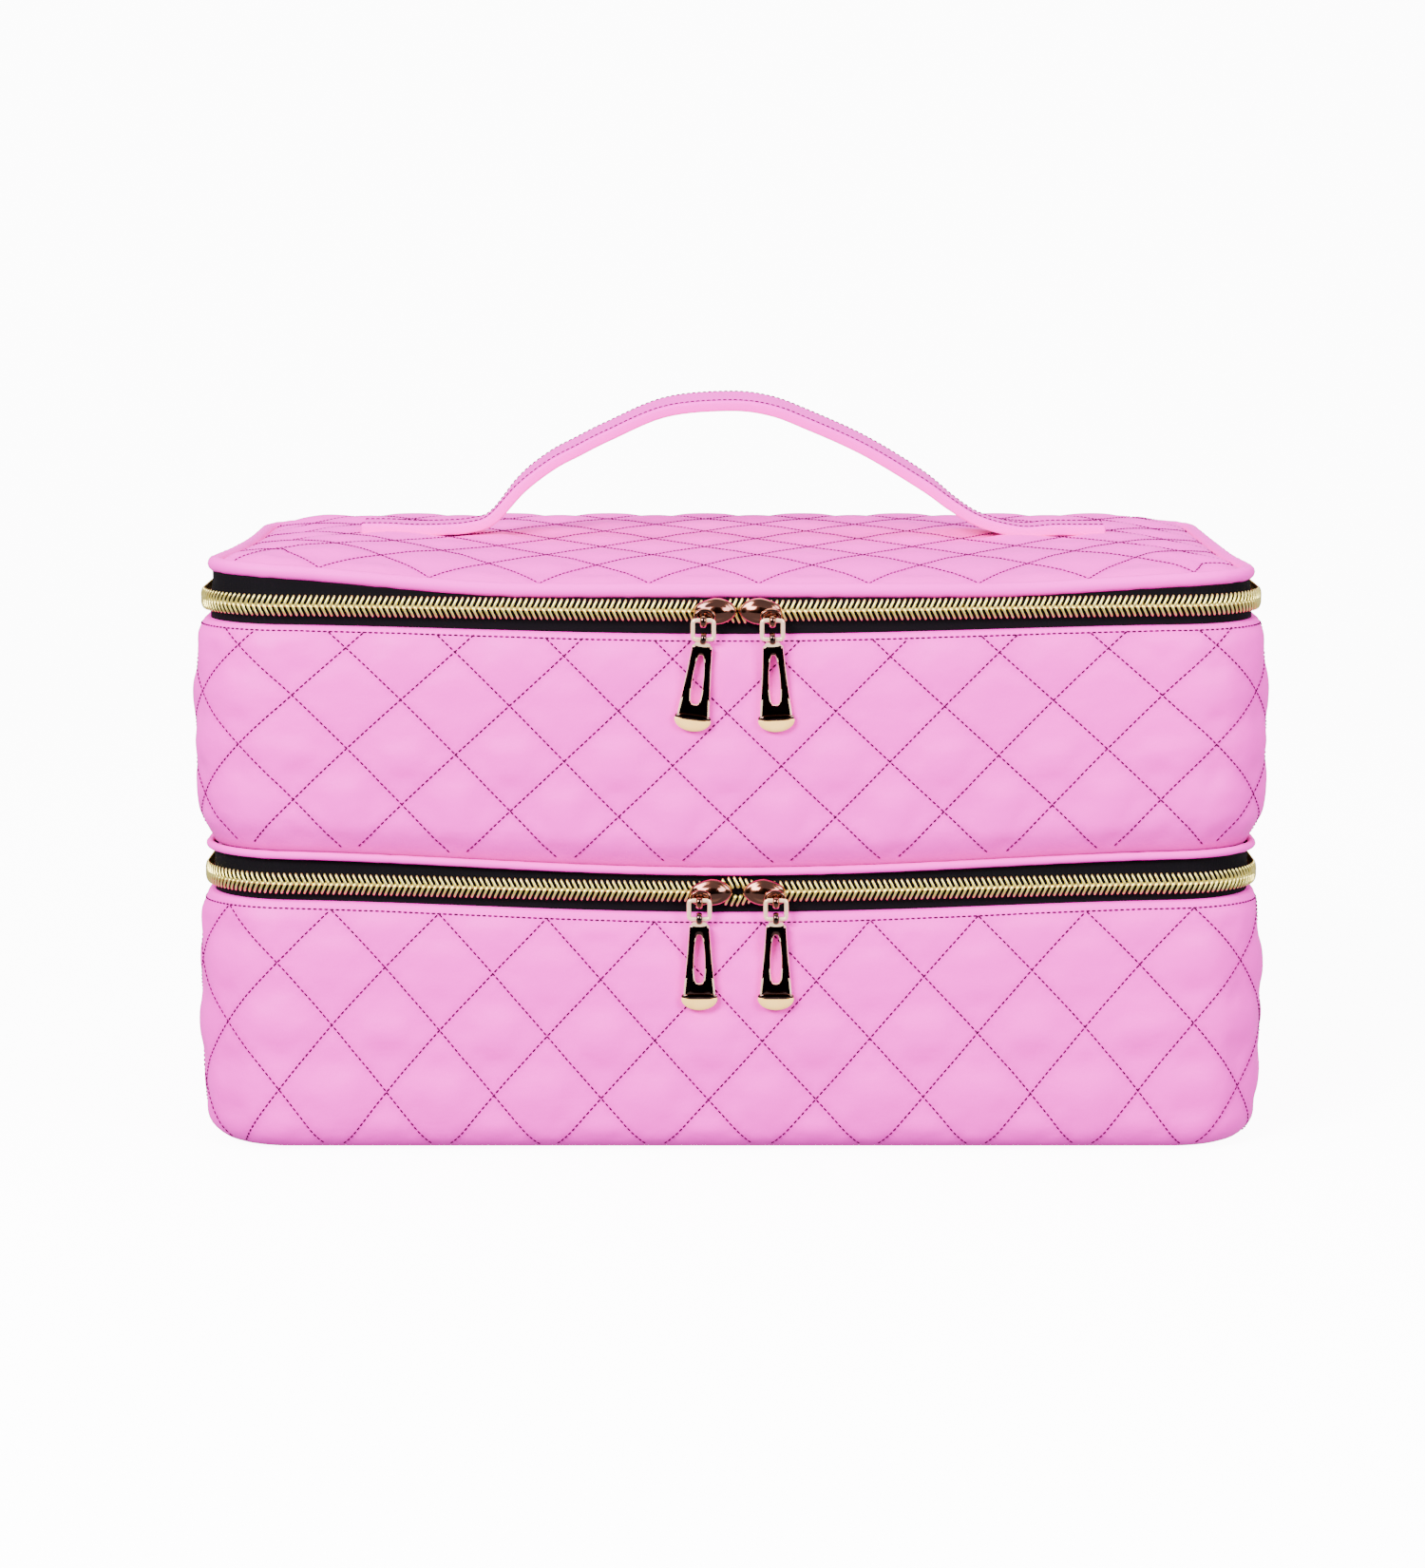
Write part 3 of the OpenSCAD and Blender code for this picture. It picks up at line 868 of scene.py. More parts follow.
def hingeStrip(name, low, high, turning, parent, child, *nodes):
    # one strip of fabric across a back hinge
    piece = gridSheet(name, 90, 18)

    def place(point):
        share = (point.y + 1) / 2
        dip = hingeBuild["dip"] * math.cos(math.pi * point.y * 0.5)
        dip += hingeBuild["ripple"] * math.sin(point.x * 60) * (1 - point.y ** 2)
        z = low + (high - low) * share
        return Vector((point.x * hingeBuild["halfWide"], hingeBuild["back"] - dip, z))

    reshape(piece, place)
    faceOut(piece)
    finishWith(piece, "SOLIDIFY", thickness=1.4 * mm, offset=1)
    faceOut(piece)
    smooth(piece, 50)
    # painted shade: the whole strip, set in the gap between the tiers, is painted a little darker
    withPaintedShade(piece, 0.2)
    paint(piece, plainSatin)
    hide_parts(*nodes)
    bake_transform(piece)
    return piece


hingeStrip("deckHingeStrip", 77.5 * mm, 95 * mm, (81.5 * mm, 90.5 * mm), "lower_tier", "upper_tier",
           "lower_hinge_strip", "tier_bottom_strip")
hingeStrip("lidHingeStrip", 167 * mm, 184 * mm, (171 * mm, 180 * mm), "upper_tier", "lid",
           "tier_top_strip", "lid_hinge_strip")


stitchBuild = {"length": 1.45 * mm, "gap": 0.35 * mm, "thread": 0.29 * mm, "lift": 0.08 * mm}


def stitchPattern():
    bpy.ops.mesh.primitive_uv_sphere_add(segments=5, ring_count=4, radius=1)
    stitch = named("stitchPattern")
    half = stitchBuild["length"] / 2
    reshape(stitch, lambda p: Vector((p.z * half, p.x * stitchBuild["thread"], p.y * stitchBuild["thread"])))
    return faceOut(stitch)


oneStitch = stitchPattern()


def stitchAlong(points, surface, places):
    step = stitchBuild["length"] + stitchBuild["gap"]
    wait = step / 2
    for first, last in zip(points, points[1:]):
        run = (last - first).length
        if run > 8 * mm or run < 1e-6:
            wait = step / 2
            continue
        while wait <= run:
            spot = first.lerp(last, wait / run)
            _, on, normal, _ = surface.closest_point_on_mesh(spot)
            along = (last - first).normalized()
            along = (along - normal * along.dot(normal)).normalized()
            turn = Matrix((along, normal.cross(along), normal)).transposed().to_4x4()
            places.append(Matrix.Translation(on + normal * stitchBuild["lift"]) @ turn)
            wait += step
        wait -= run


def diamondRuns(seams, across=12):
    # the diagonal seams, each as a list of points
    runs = []
    keys = sorted(seams)
    for slope in (1, -1):
        lines = {}
        for i, j in keys:
            if (i + slope * j) % across == 0:
                lines.setdefault((i + slope * j) // across, []).append(seams[i, j])
        runs += list(lines.values())
    return runs


def rowRun(seams, row):
    return [seams[key] for key in sorted(seams) if key[1] == row]


def sewn(name, runs, surface, body):
    places = []
    for run in runs:
        stitchAlong(run, surface, places)
    piece = copies(name, oneStitch, places)
    print(name, len(places), "stitches")
    return fit(piece, body, "quilted_fabric", stitchThread)


for title, seams, wall, lowest, hemRow, body in (
    ("upperWallStitches", upperSeams, upperWall, 7, 32, "upper_tier"),
    ("lowerWallStitches", lowerSeams, lowerWall, -5, 18, "lower_tier"),
):
    below = {key: point for key, point in seams.items() if lowest <= key[1] <= hemRow}
    sewn(title, diamondRuns(below) + [rowRun(seams, hemRow)], wall, body)
sewn("lidStitches", diamondRuns(lidSeams), lidPanel, "lid")


handleBuild = {
    "width": 22 * mm, "thick": 3.6 * mm, "columns": 150, "across": 12, "tilt": 0.13, "lift": 0.75 * mm,
    "bevel": 0.9 * mm, "tails": ((-124, -115, -106, -97), (99, 108, 117, 126)),
    "arch": ((-88, 192.8), (-80, 195.6), (-70, 207.0), (-60, 214.8), (-51, 219.6), (-41, 224.6),
             (-22, 232.6), (-1, 234.7), (13, 233.2), (26, 228.4), (45, 219.8), (64, 208.4),
             (74, 200.8), (82, 195.6), (90, 192.8)),
}


def restOn(x):
    heights = []
    for y in (-9, -3, 3, 9):
        _, on, _, _ = lidPanel.ray_cast(Vector((x, y * mm, 0.3)), Vector((0, 0, -1)))
        heights.append(on.z)
    return max(heights)


def curveThrough(points, share):
    # smooth curve through the points, share from 0 to 1
    place = share * (len(points) - 1)
    k = min(int(place), len(points) - 2)
    t = place - k
    before, here, there, after = (points[min(max(k + d, 0), len(points) - 1)] for d in (-1, 0, 1, 2))
    return 0.5 * (2 * here + (there - before) * t + (2 * before - 5 * here + 4 * there - after) * t * t
                  + (3 * here - before - 3 * there + after) * t ** 3)


def handlePath():
    left, right = [[Vector((x * mm, 0, restOn(x * mm) + handleBuild["lift"])) for x in tail]
                   for tail in handleBuild["tails"]]
    return left + [Vector((x * mm, 0, z * mm)) for x, z in handleBuild["arch"]] + right


def strap():
    path = handlePath()
    columns, across = handleBuild["columns"], handleBuild["across"]
    piece = gridSheet("handleStrap", columns, across)

    def lay(point):
        spot = curveThrough(path, (point.x + 1) / 2)
        spot.y = point.y * (handleBuild["width"] / 2 - handleBuild["thick"] / 2)
        lifted = ease((spot.z - 0.192) / 0.02)
        spot.z += spot.y * handleBuild["tilt"] * lifted
        return spot

    reshape(piece, lay)
    faceOut(piece)
    if piece.data.polygons[len(piece.data.polygons) // 2].normal.z < 0:
        onMesh(piece, bpy.ops.mesh.flip_normals)
    rows = {}
    flatWidth = handleBuild["width"] - handleBuild["thick"]
    for k, vertex in enumerate(piece.data.vertices):
        rows.setdefault(round(vertex.co.y / flatWidth * across), []).append(k)
    edges = [[piece.data.vertices[k].co.copy() for k in rows[row]]
             for row in (1 - across // 2, across // 2 - 1)]
    finishWith(piece, "SOLIDIFY", thickness=handleBuild["thick"], offset=0)
    finishWith(piece, "BEVEL", width=handleBuild["bevel"], segments=3, limit_method="ANGLE",
               angle_limit=math.radians(50))
    smooth(piece, 70)
    withPaintedShade(piece)
    paint(piece, strapSatin)
    places = []
    for edge in edges:
        top = [point + Vector((0, 0, handleBuild["thick"] / 2)) for point in edge]
        stitchAlong(top, piece, places)
    stitches = copies("handleStitches", oneStitch, places)
    paint(stitches, stitchThread)
    for made in (piece, stitches):
        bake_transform(made)
    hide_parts("handle_strap", "handle_tail_left", "handle_tail_right")
    return piece


strap()
print("handle sewn")


def pebble(name, outline, layers, segments=40, rings=16):
    # a closed shape: layers run from the back to the front as (share, size, depth)
    bpy.ops.mesh.primitive_uv_sphere_add(segments=segments, ring_count=rings, radius=1)
    piece = named(name)

    def shape(point):
        share = math.asin(max(-1.0, min(1.0, point.z))) / math.pi + 0.5
        size, depth = layers[-1][1:]
        for (s0, a0, d0), (s1, a1, d1) in zip(layers, layers[1:]):
            if share <= s1:
                t = (share - s0) / (s1 - s0)
                size, depth = a0 + (a1 - a0) * t, d0 + (d1 - d0) * t
                break
        x, z = outline(math.atan2(point.y, point.x))
        return Vector((x * size, depth, z * size))

    reshape(piece, shape)
    return faceOut(piece)


def wireRing(name, path, wire, segments=48, sides=10, widen=1.0):
    # path(t) gives (across, up) for t from 0 to 1; the ring stands in the plane of the zip
    def place(i, j):
        t = i / segments
        x, z = path(t)
        x1, z1 = path(t + 0.002)
        x0, z0 = path(t - 0.002)
        side = Vector((z1 - z0, 0, x0 - x1)).normalized()
        turn = 2 * math.pi * j / sides
        point = Vector((x, 0, z)) + side * wire * math.cos(turn)
        point.y += wire * widen * math.sin(turn)
        return point

    return faceOut(closedTube(name, segments, sides, place))


def oval(wide, high):
    return lambda t: (wide * math.cos(2 * math.pi * t), high * math.sin(2 * math.pi * t))


def blunt(value, power):
    # squares a circle's corners off when the power is under 1
    return math.copysign(abs(value) ** power, value)


sliderBuild = {
    "length": 13.4 * mm, "height": 8.4 * mm, "tail": 6.2 * mm, "face": -101.0 * mm, "back": -96.4 * mm,
}
pullBuild = {
    "long": 24.4 * mm, "tip": 3.7 * mm, "top": 6.3 * mm, "end": 11.4 * mm, "thick": 1.8 * mm,
    "slotTop": 3.6 * mm, "slotEnd": 19.4 * mm, "slotWide": (1.25 * mm, 2.15 * mm),
    "link": (6.6 * mm, 6.0 * mm, 0.72 * mm), "eyeDrop": 9.2 * mm, "shoulder": 1.5 * mm, "edge": 0.95 * mm,
}


def almond(turn):
    # the nose points along +X
    c, s = math.cos(turn), math.sin(turn)
    x = c * sliderBuild["length"] / 2
    if c > 0:
        z = sliderBuild["height"] / 2 * blunt(s, 1.25)
    else:
        full = sliderBuild["height"] + (sliderBuild["tail"] - sliderBuild["height"]) * -c
        z = full / 2 * blunt(s, 0.75)
    return x, z


def shifted(piece, x, y, z, flip=1):
    reshape(piece, lambda p: Vector((p.x * flip + x, p.y + y, p.z + z)))
    return faceOut(piece)


def slider(name, node, zc, flip):
    low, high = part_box(node)
    middle = (low.x + high.x) / 2
    face = sliderBuild["face"]
    plate = pebble("plate", almond, [
        (0, 0, 0), (0.2, 0.80, 0.0), (0.3, 0.94, -0.1 * mm), (0.38, 1.0, 0.9 * mm), (0.46, 1.03, 0.3 * mm),
        (0.54, 1.0, -0.6 * mm), (0.62, 0.90, -1.0 * mm), (0.68, 0.80, -1.05 * mm), (0.74, 0.66, -1.5 * mm),
        (0.86, 0.40, -2.2 * mm), (1, 0, -2.55 * mm)])
    shifted(plate, middle, face, zc, flip)
    back = pebble("back", almond, [(0, 0, 1.2 * mm), (0.3, 0.92, 1.2 * mm), (0.5, 1.0, 0.6 * mm),
                                   (0.7, 0.92, 0), (1, 0, 0)], 32, 10)
    shifted(back, middle, sliderBuild["back"], zc, flip)
    post = pebble("post", lambda turn: (1.6 * mm * math.cos(turn), 0.9 * mm * math.sin(turn)),
                  [(0, 0, 5 * mm), (0.3, 1, 5 * mm), (0.7, 1, -0.2 * mm), (1, 0, -0.2 * mm)], 16, 8)
    shifted(post, middle + flip * 4.6 * mm, face + 0.2 * mm, zc, flip)
    bridge = wireRing("bridge", oval(2.9 * mm, 1.9 * mm), 0.62 * mm, 32, 10, 1.3)
    shifted(bridge, middle - flip * 3.4 * mm, face - 2.3 * mm, zc - 1.3 * mm)
    lug = wireRing("lug", oval(1.35 * mm, 1.5 * mm), 0.55 * mm, 24, 10)
    reshape(lug, lambda p: Vector((p.y * 1.9, p.x, p.z)))
    shifted(lug, middle - flip * 3.8 * mm, face - 2.4 * mm, zc - 2.9 * mm)
    piece = joined(name, plate, back, post, bridge, lug)
    smooth(piece, 60)
    return fit(piece, node, "slider_metal", roseGoldPaintedDark, node)


def link(name, node):
    wide, tall, wire = pullBuild["link"]

    def frameShape(t):
        c, s = math.cos(2 * math.pi * t), math.sin(2 * math.pi * t)
        return wide / 2 * blunt(c, 0.26), tall / 2 * blunt(s, 0.26)

    low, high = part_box(node)
    piece = wireRing(name, frameShape, wire, 64, 10)
    shifted(piece, (low.x + high.x) / 2, (low.y + high.y) / 2, (low.z + high.z) / 2)
    smooth(piece)
    return fit(piece, node, "slider_metal", edgeGold, node)


def pullWidth(depth):
    build = pullBuild
    share = depth / build["long"]
    wide = build["top"] / 2 + (build["end"] * 0.46 - build["top"] / 2) * share ** 1.1
    top = min(depth / (0.9 * mm), 1.0) ** 0.3
    return wide * top * min(max(build["long"] - depth, 0.0) / (0.5 * mm), 1.0) ** 0.3


def pull(name, node, eyeX, zc, lean):
    build = pullBuild
    half = 44
    edge, thick, full = build["edge"], build["thick"] / 2, build["long"]
    section = ((0, 0.45), (0.25, 0.8), (1, 1.0), (-1, 1.0), (-0.4, 0.9), (0, 0.55),
               (0, -0.55), (-0.4, -0.9), (-1, -1.0), (1, -1.0), (0.25, -0.8), (0, -0.45))

    def rim(i, j):
        # sides 3 to 8 of the section run round the slot, the others round the outline
        side = 1 if i < half else -1
        s = i / half if i < half else 2 - i / half
        down = (1 - math.cos(math.pi * s)) / 2
        depth = full * (1 - math.cos(math.pi * s)) / 2
        outer = Vector((side * pullWidth(depth), -depth))
        slotDepth = build["slotTop"] + (build["slotEnd"] - build["slotTop"]) * down
        wide = build["slotWide"][0] + (build["slotWide"][1] - build["slotWide"][0]) * s
        inner = Vector((side * wide * math.sin(math.pi * s) ** 0.55, -slotDepth))
        across = inner - outer
        reach, up = section[j]
        share = 1 + reach * edge * 0.5 / across.length if 3 <= j <= 8 else reach * edge / across.length
        spot = outer + across * share
        return spot.x, -up * thick, spot.y

    plate = closedTube("plate", 2 * half, len(section), rim)
    faceOut(plate)
    # painted dark reflection: the flat faces facing front and back take the near-black face finish, standing
    # in for the dark studio they reflect, while the bevelled edges stay gold
    plate.data.materials.clear()
    for material in (edgeGold, paintedDarkReflection):
        plate.data.materials.append(material)
    for face in plate.data.polygons:
        if abs(face.normal.y) > 0.93:
            face.material_index = 1
    rounded = [(0, 0, 0.9), (0.2, 0.82, 0.9), (0.36, 1.0, 0.5), (0.5, 1.02, 0), (0.64, 1.0, -0.5),
               (0.8, 0.82, -0.9), (1, 0, -0.95)]

    def tipOutline(turn):
        c, s = math.cos(turn), math.sin(turn)
        return build["end"] / 2 * c, (build["tip"] if s < 0 else 0.9 * mm) * s

    def bandOutline(turn):
        return 5.75 * mm * blunt(math.cos(turn), 0.45), 1.0 * mm * math.sin(turn)

    def collarOutline(turn):
        return 2.5 * mm * math.cos(turn), 0.75 * mm * blunt(math.sin(turn), 0.6)

    def deepened(depth):
        return [(share, size, level * depth) for share, size, level in rounded]

    tip = pebble("tip", tipOutline, deepened(1.05 * mm), 40, 14)
    shifted(tip, 0, 0, -build["long"] + 0.1 * mm)
    paint(tip, paleTip)
    # painted dark reflection: the band and the eye take the near-black face finish as well
    band = pebble("band", bandOutline, deepened(1.28 * mm), 40, 14)
    shifted(band, 0, 0, -build["long"] + 0.9 * mm)
    paint(band, paintedDarkReflection)
    eye = wireRing("eye", oval(1.35 * mm, 1.5 * mm), 0.55 * mm, 28, 10, 1.7)
    reshape(eye, lambda p: Vector((p.y, p.x, p.z + build["shoulder"])))
    paint(eye, paintedDarkReflection)
    collar = pebble("collar", collarOutline, [
        (0, 0, 0.9 * mm), (0.25, 0.95, 0.9 * mm), (0.5, 1.0, 0), (0.75, 0.95, -0.9 * mm),
        (1, 0, -1.0 * mm)], 24, 8)
    reshape(collar, lambda p: p + Vector((0, 0, -0.2 * mm)))
    paint(collar, edgeGold)
    faceOut(eye)
    piece = joined(name, plate, eye, collar, tip, band)
    low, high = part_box(node)
    turn = math.radians(lean)
    y = (low.y + high.y) / 2
    eyeZ = zc - build["eyeDrop"]

    def hang(p):
        x, z = p.x, p.z - build["shoulder"]
        return Vector((eyeX + x * math.cos(turn) + z * math.sin(turn), y + p.y,
                       eyeZ - x * math.sin(turn) + z * math.cos(turn)))

    reshape(piece, hang)
    smooth(piece, 40)
    return fit(piece, node, "slider_metal", None, node)


for level, zc, leans in (("upper", upperZip, (7.6, -2.8)), ("lower", lowerZip, (0, 0))):
    for sideName, flip, lean in (("left", 1, leans[0]), ("right", -1, leans[1])):
        sliderNode, linkNode, pullNode = [f"{level}_{part}_{sideName}" for part in ("slider", "link", "pull")]
        sideTitle = sideName.capitalize()
        slider(f"{level}Slider{sideTitle}", sliderNode, zc + zipSag(0, zc), flip)
        link(f"{level}Link{sideTitle}", linkNode)
        eyeX = sum(corner.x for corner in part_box(linkNode)) / 2
        pull(f"{level}Pull{sideTitle}", pullNode, eyeX, zc, lean)
print("sliders hung")


def edgeRun(x, y):
    # where along the girth a point near the edge of the bag lies
    toSide, toEnd = plan["halfWide"] - abs(x), plan["halfDeep"] - abs(y)
    side = 1 if x >= 0 else -1
    if toSide < toEnd:
        return side * (straightX + cornerRun + y + straightY)
    if y < 0:
        return x
    return side * (girth / 2 - abs(x))


baseBuild = {
    "columns": 106, "rows": 54, "inset": 12.4 * mm, "puff": -0.5 * mm, "thick": 4.6 * mm, "phase": (3, 5),
    "top": 5.4 * mm,
}
base, _ = quiltedPanel("basePad", baseBuild, lambda x, y, near: baseBuild["top"], simulate=False)
reshape(base, lambda p: Vector((p.x, p.y, max(p.z, 0.1 * mm))))
fit(base, "lower_tier", "quilted_fabric", quiltSatin, "lower_base")

deckBuild = {
    "columns": 114, "rows": 66, "inset": 3.4 * mm, "puff": -0.5 * mm, "thick": 2.0 * mm, "phase": (0, 0),
    "top": 94.9 * mm,
}


def deckHeight(x, y, near):
    lift = min(droop(edgeRun(x, y), *upperBuild["droopLow"]), 1.0 * mm)
    return deckBuild["top"] + lift * (1 - ease(near / (22 * mm)))


deck, _ = quiltedPanel("tierFloorPad", deckBuild, deckHeight, simulate=False)
fit(deck, "upper_tier", "quilted_fabric", quiltSatin, "tier_floor")
print("floors padded")

for board, body in (("lower_board", "lower_tier"), ("tier_board", "upper_tier")):
    paint(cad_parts[board], stiffBoard)


trayBuild = {
    "across": 84, "flatShare": 0.72, "inset": 5.6 * mm, "crease": 0.7 * mm, "gap": 0.35 * mm,
    "cornerLoss": 0.86, "rimShare": 0.97,
}


def trayLining(name, floorZ, topZ, droopTop, body, rests, *nodes):
    # one sheet: the floor in the middle, its rim turned up against the padded wall
    build = trayBuild
    piece = gridSheet(name, build["across"], build["across"])
    flat, inset, foot = build["flatShare"], build["inset"], floorZ + build["gap"]

    def lay(point):
        reach = max(abs(point.x), abs(point.y))
        if reach <= flat:
            x, y = planPoint(point.x / flat, point.y / flat, inset)
            wave = math.sin(x * 95 + 3 * math.sin(y * 41)) * math.sin(y * 70 + x * 33)
            crease = build["crease"] * (1 + wave) / 2
            return Vector((x, y, foot + crease * ease(edgeDistance(x, y, inset) / 0.02)))
        x, y = planPoint(point.x / reach, point.y / reach, inset)
        share = (reach - flat) / (1 - flat)
        run = edgeRun(x, y)
        ripple = math.sin(run * 140 + 2 * math.sin(run * 37)) * math.sin(math.pi * share)
        inward = 1 - build["crease"] * 9 * (1 + ripple) * 0.5 * math.sin(math.pi * share)
        top = topZ + droop(run, *droopTop)
        return Vector((x * inward, y * inward, foot + (top - foot) * share))

    reshape(piece, lay)
    faceOut(piece)
    if sum(face.normal.z for face in piece.data.polygons if face.center.z < floorZ + 2 * mm) < 0:
        onMesh(piece, bpy.ops.mesh.flip_normals)
    finishWith(piece, "SUBSURF", levels=1, render_levels=1)
    finishWith(piece, "SOLIDIFY", thickness=0.5 * mm, offset=-1)
    smooth(piece)
    withPaintedShade(piece)
    fit(piece, body, "lining", liningSatin, *nodes)
    wide, deep, high = 2 * (plan["halfWide"] - inset), 2 * (plan["halfDeep"] - inset), topZ - floorZ
    cut = wide * deep - build["cornerLoss"] * (plan["corner"] - inset) ** 2
    cut += build["rimShare"] * 2 * (wide + deep) * high
    wide + 2 * high
    deep + 2 * high
    return piece


trayLining("lowerTrayLining", 8.0 * mm, 78.2 * mm, lowerBuild["droopHigh"],
           "lower_tier", "lower_board", "lower_lining")
trayLining("upperTrayLining", 96.3 * mm, 167.7 * mm, upperBuild["droopHigh"],
           "upper_tier", "tier_board", "tier_lining")


def seamBinding(name, low, high, shift, body, *nodes):
    # ribbed tape folded over the raw edges inside
    section = ((-5.7, 0.15), (-5.7, 0.85), (-6.0, 0.98), (-6.8, 0.98), (-7.1, 0.85), (-7.2, 0.5),
               (-7.1, 0.15), (-6.8, 0.02), (-6.0, 0.02))
    segments = 256

    def edge(i, j):
        u = (i - segments / 2) * girth / segments
        offset, share = section[j]
        place = around(u, (offset + 0.12 * math.sin(u * 240)) * mm, low + (high - low) * share)
        place.z += shift(u, place)
        return place

    piece = closedTube(name, segments, len(section), edge)
    faceOut(piece)
    smooth(piece, 50)
    return fit(piece, body, "binding", bindingWeave, *nodes)


seamBinding("lowerBinding", 72.5 * mm, 79.3 * mm, lambda u, p: droop(u, *lowerBuild["droopHigh"]),
            "lower_tier", "lower_binding")
seamBinding("tierBinding", 162 * mm, 168.8 * mm, lambda u, p: droop(u, *upperBuild["droopHigh"]),
            "upper_tier", "tier_binding")
seamBinding("lidBinding", 178.2 * mm, 181.6 * mm, lambda u, p: lidSag(p.x, p.y), "lid", "lid_binding")


def lidSheet(name, halfX, halfY, height, thick, rounded):
    piece = gridSheet(name, 96, 64)

    def lay(point):
        x, y = planPoint(point.x, point.y, 6.2 * mm) if rounded else (point.x * halfX, point.y * halfY)
        slack = 0.25 * mm * math.sin(x * 75 + 2 * math.sin(y * 50)) * (1 - point.x ** 4) * (1 - point.y ** 4)
        return Vector((x * narrowing(y) if rounded else x, y, height + lidSag(x, y) + slack))

    reshape(piece, lay)
    finishWith(piece, "SOLIDIFY", thickness=thick, offset=0)
    smooth(piece)
    return withPaintedShade(piece)


lidLining = lidSheet("lidLining", 0, 0, 181.75 * mm, 0.5 * mm, True)
fit(lidLining, "lid", "lining", liningSatin, "lid_lining")

_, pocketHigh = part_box("pocket_mesh")
pocket = lidSheet("pocketMesh", pocketHigh.x, pocketHigh.y, 180.9 * mm, 0.25 * mm, False)
fit(pocket, "lid", "mesh", blackNet, "pocket_mesh")

pocketBuild = {"halfBand": 4.5 * mm, "corner": 4.6 * mm, "height": 180.75 * mm, "thick": 0.8 * mm}


def pocketFrame():
    section = ((4.5, 0.0), (4.2, 0.5), (0.0, 0.75), (-4.2, 0.5), (-4.5, 0.0), (-4.2, -0.5),
               (0.0, -0.6), (4.2, -0.5))
    segments = 240
    _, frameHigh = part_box("pocket_binding")
    corner = pocketBuild["corner"]
    halfX, halfY = frameHigh.x - pocketBuild["halfBand"], frameHigh.y - pocketBuild["halfBand"]
    runX, runY, arc = halfX - corner, halfY - corner, corner * math.pi / 2
    total = 4 * (runX + runY + arc)

    def middleLine(run):
        # point on the frame's middle line and the way out from it
        for quarter in range(4):
            reach, half = (halfX, runY) if quarter % 2 == 0 else (halfY, runX)
            turn = quarter * math.pi / 2
            out = Vector((math.cos(turn), math.sin(turn), 0))
            along = Vector((-out.y, out.x, 0))
            if run <= 2 * half:
                return out * reach + along * (run - half), out
            run -= 2 * half
            if run <= arc:
                bend = turn + run / corner
                centre = out * (reach - corner) + along * half
                out = Vector((math.cos(bend), math.sin(bend), 0))
                return centre + out * corner, out
            run -= arc

    def edge(i, j):
        place, out = middleLine(i / segments * total)
        wide, up = section[j]
        place = place + out * wide * mm
        place.z = pocketBuild["height"] + up * pocketBuild["thick"] + lidSag(place.x, place.y)
        return place

    piece = closedTube("pocketBinding", segments, len(section), edge)
    faceOut(piece)
    smooth(piece, 60)
    return fit(piece, "lid", "binding", bindingWeave, "pocket_binding")


pocketFrame()
print("linings sewn")

dividerBuild = {"bind": 1.5 * mm, "square": 0.2}


def divider(name, node):
    low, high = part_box(node)
    middle, half = (low + high) / 2, (high - low) / 2
    bind = dividerBuild["bind"]

    def edge(turn, inset):
        c, s = math.cos(turn), math.sin(turn)
        return ((half.y - inset) * blunt(c, dividerBuild["square"]),
                (half.z - inset) * blunt(s, dividerBuild["square"]))

    def stand(piece):
        # turned to stand across the tier, at its place
        reshape(piece, lambda p: Vector((middle.x + p.y, middle.y + p.x, middle.z + p.z)))
        return smooth(faceOut(piece))

    pad = pebble(name + "Pad", lambda turn: edge(turn, bind), [
        (0, 0, half.x), (0.25, 0.55, half.x), (0.36, 0.90, 0.92 * half.x), (0.42, 0.965, 0.5 * half.x),
        (0.47, 1.0, 0.35 * half.x), (0.53, 1.0, -0.35 * half.x), (0.58, 0.965, -0.5 * half.x),
        (0.64, 0.90, -0.92 * half.x), (0.75, 0.55, -half.x), (1, 0, -half.x)], 128, 40)
    withPaintedShade(stand(pad))
    fit(pad, "lower_tier", "lining", liningSatin, node)
    tape = wireRing(name + "Binding", lambda t: edge(2 * math.pi * t, bind), bind, 200, 10, 0.95)
    fit(stand(tape), "lower_tier", "binding", bindingWeave)


divider("dividerLeft", "divider_left")
divider("dividerRight", "divider_right")
print("dividers padded")


studio = {
    "floor": (0.93, 0.93, 0.94), "glow": 10.0, "air": 0.95, "front": -4.0, "back": 2.2, "halfWide": 12,
    "wall": 5.0, "bend": 1.2, "drop": -0.4 * mm, "aim": (0, 0, 0.1),
    "lights": (("keyLight", (-1.1, -1.7, 1.3), (1.0, 0.8), 150),
               ("fillLight", (1.3, -1.5, 0.9), (0.8, 0.8), 62),
               ("topLight", (0.0, 0.1, 1.9), (1.6, 0.9), 26)),
}
view = {"place": (-0.0060, -1.4598, 0.3242), "down": 8.557, "lens": 99.50, "sensor": 36}

backdrop = Paintwork("studio paper", Roughness=0.9, Specular_IOR_Level=0.1)
paper = backdrop.noise(3.0, 1.0)
backdrop.shader.inputs["Emission Strength"].default_value = studio["glow"]
backdrop.finish(
    Base_Color=backdrop.mix(paper * 0.1, studio["floor"], (0.9, 0.9, 0.91)), Emission_Color=(1, 1, 1))

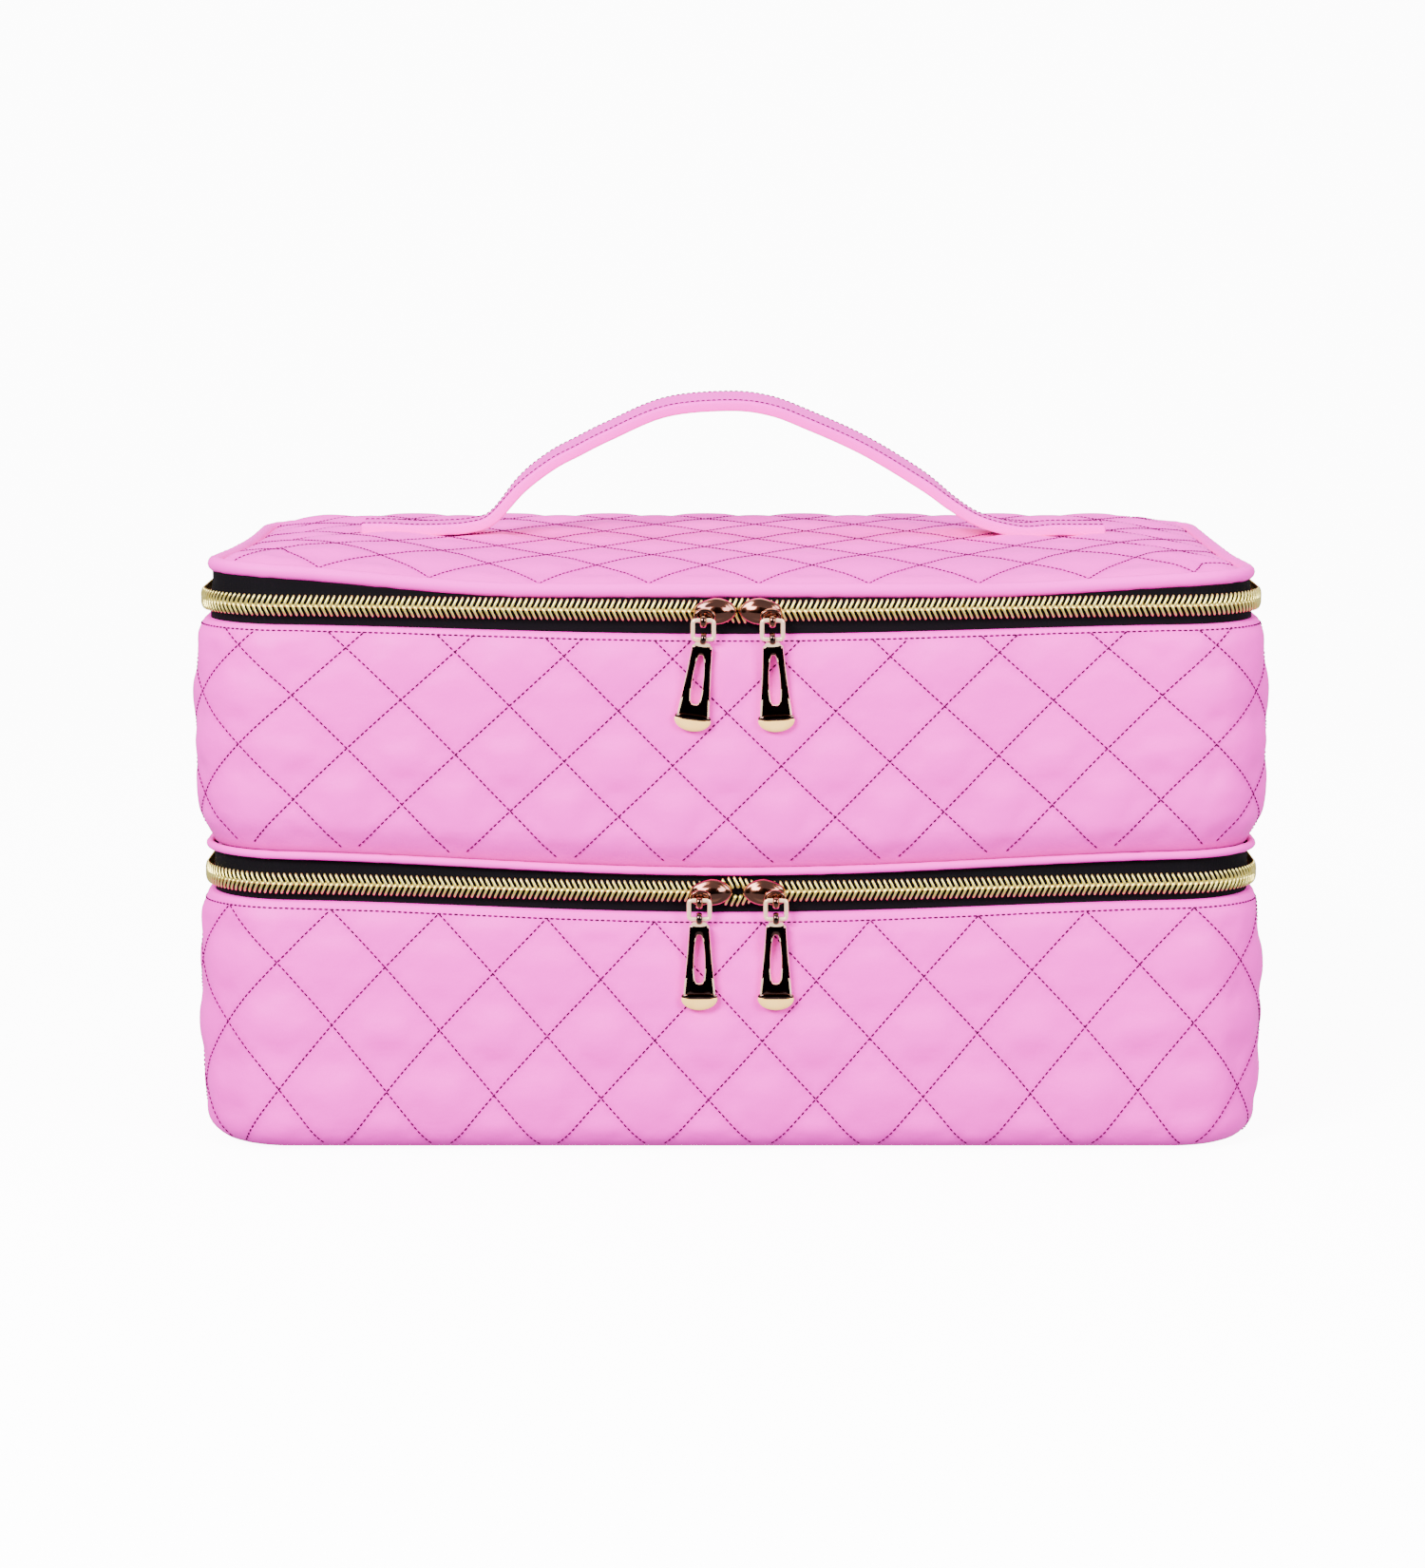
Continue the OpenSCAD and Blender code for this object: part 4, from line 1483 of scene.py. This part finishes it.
clearSelection()
bpy.ops.mesh.primitive_plane_add(size=1)
floor = named("studioFloor")
reshape(floor, lambda p: Vector((
    p.x * studio["halfWide"], studio["front" if p.y < 0 else "back"], studio["drop"])))
takeUp(floor)
bpy.ops.object.mode_set(mode="EDIT")
bpy.ops.mesh.select_all(action="DESELECT")
bpy.ops.object.mode_set(mode="OBJECT")
for edge in floor.data.edges:
    edge.select = all(floor.data.vertices[k].co.y > 2 for k in edge.vertices)
bpy.ops.object.mode_set(mode="EDIT")
bpy.ops.mesh.select_mode(type="EDGE")
bpy.ops.mesh.extrude_region_move(TRANSFORM_OT_translate={"value": (0, 0, studio["wall"])})
bpy.ops.object.mode_set(mode="OBJECT")
finishWith(floor, "BEVEL", width=studio["bend"], segments=12, limit_method="ANGLE")
smooth(floor)
paint(floor, backdrop.material)
floor.visible_diffuse = False
floor.visible_glossy = False

clearSelection()
bpy.ops.mesh.primitive_plane_add(size=1)
card = named("darkCard")
reshape(card, lambda p: Vector((p.x * 3.4, -2.1 - p.y * 0.4, p.y * 2.2 + 0.6)))
card.visible_camera = False
card.visible_diffuse = False
card.visible_shadow = False
cloth = Paintwork("dark card", Roughness=1.0, Specular_IOR_Level=0.0)
black = cloth.mix(cloth.noise(4.0), (0.004, 0.003, 0.004), (0.008, 0.006, 0.008))
paint(card, cloth.finish(Base_Color=black))


for title, place, size, power in studio["lights"]:
    bpy.ops.object.light_add(type="AREA", location=place)
    light = named(title)
    light.data.shape = "RECTANGLE"
    light.data.size, light.data.size_y = size
    light.data.energy = power
    light.rotation_euler = (Vector(studio["aim"]) - Vector(place)).to_track_quat("-Z", "Y").to_euler()

# the air lights the bag softly, and shows as white behind the end of the paper
air = bpy.data.worlds.new("studio air")
air.use_nodes = True
air.node_tree.nodes["Background"].inputs["Color"].default_value = (0.95, 0.96, 1.0, 1.0)
seen = air.node_tree.nodes.new("ShaderNodeLightPath")
level = air.node_tree.nodes.new("ShaderNodeMath")
level.operation = "MULTIPLY_ADD"
level.inputs[1].default_value = studio["glow"]
level.inputs[2].default_value = studio["air"]
air.node_tree.links.new(seen.outputs["Is Camera Ray"], level.inputs[0])
air.node_tree.links.new(level.outputs[0], air.node_tree.nodes["Background"].inputs["Strength"])
bpy.context.scene.world = air

bpy.ops.object.camera_add(location=view["place"], rotation=(math.radians(90 - view["down"]), 0, 0))
camera = named("camera")
camera.data.lens = view["lens"]
camera.data.sensor_width = view["sensor"]
bpy.context.scene.camera = camera
discard(oneStitch)
print("studio lit")
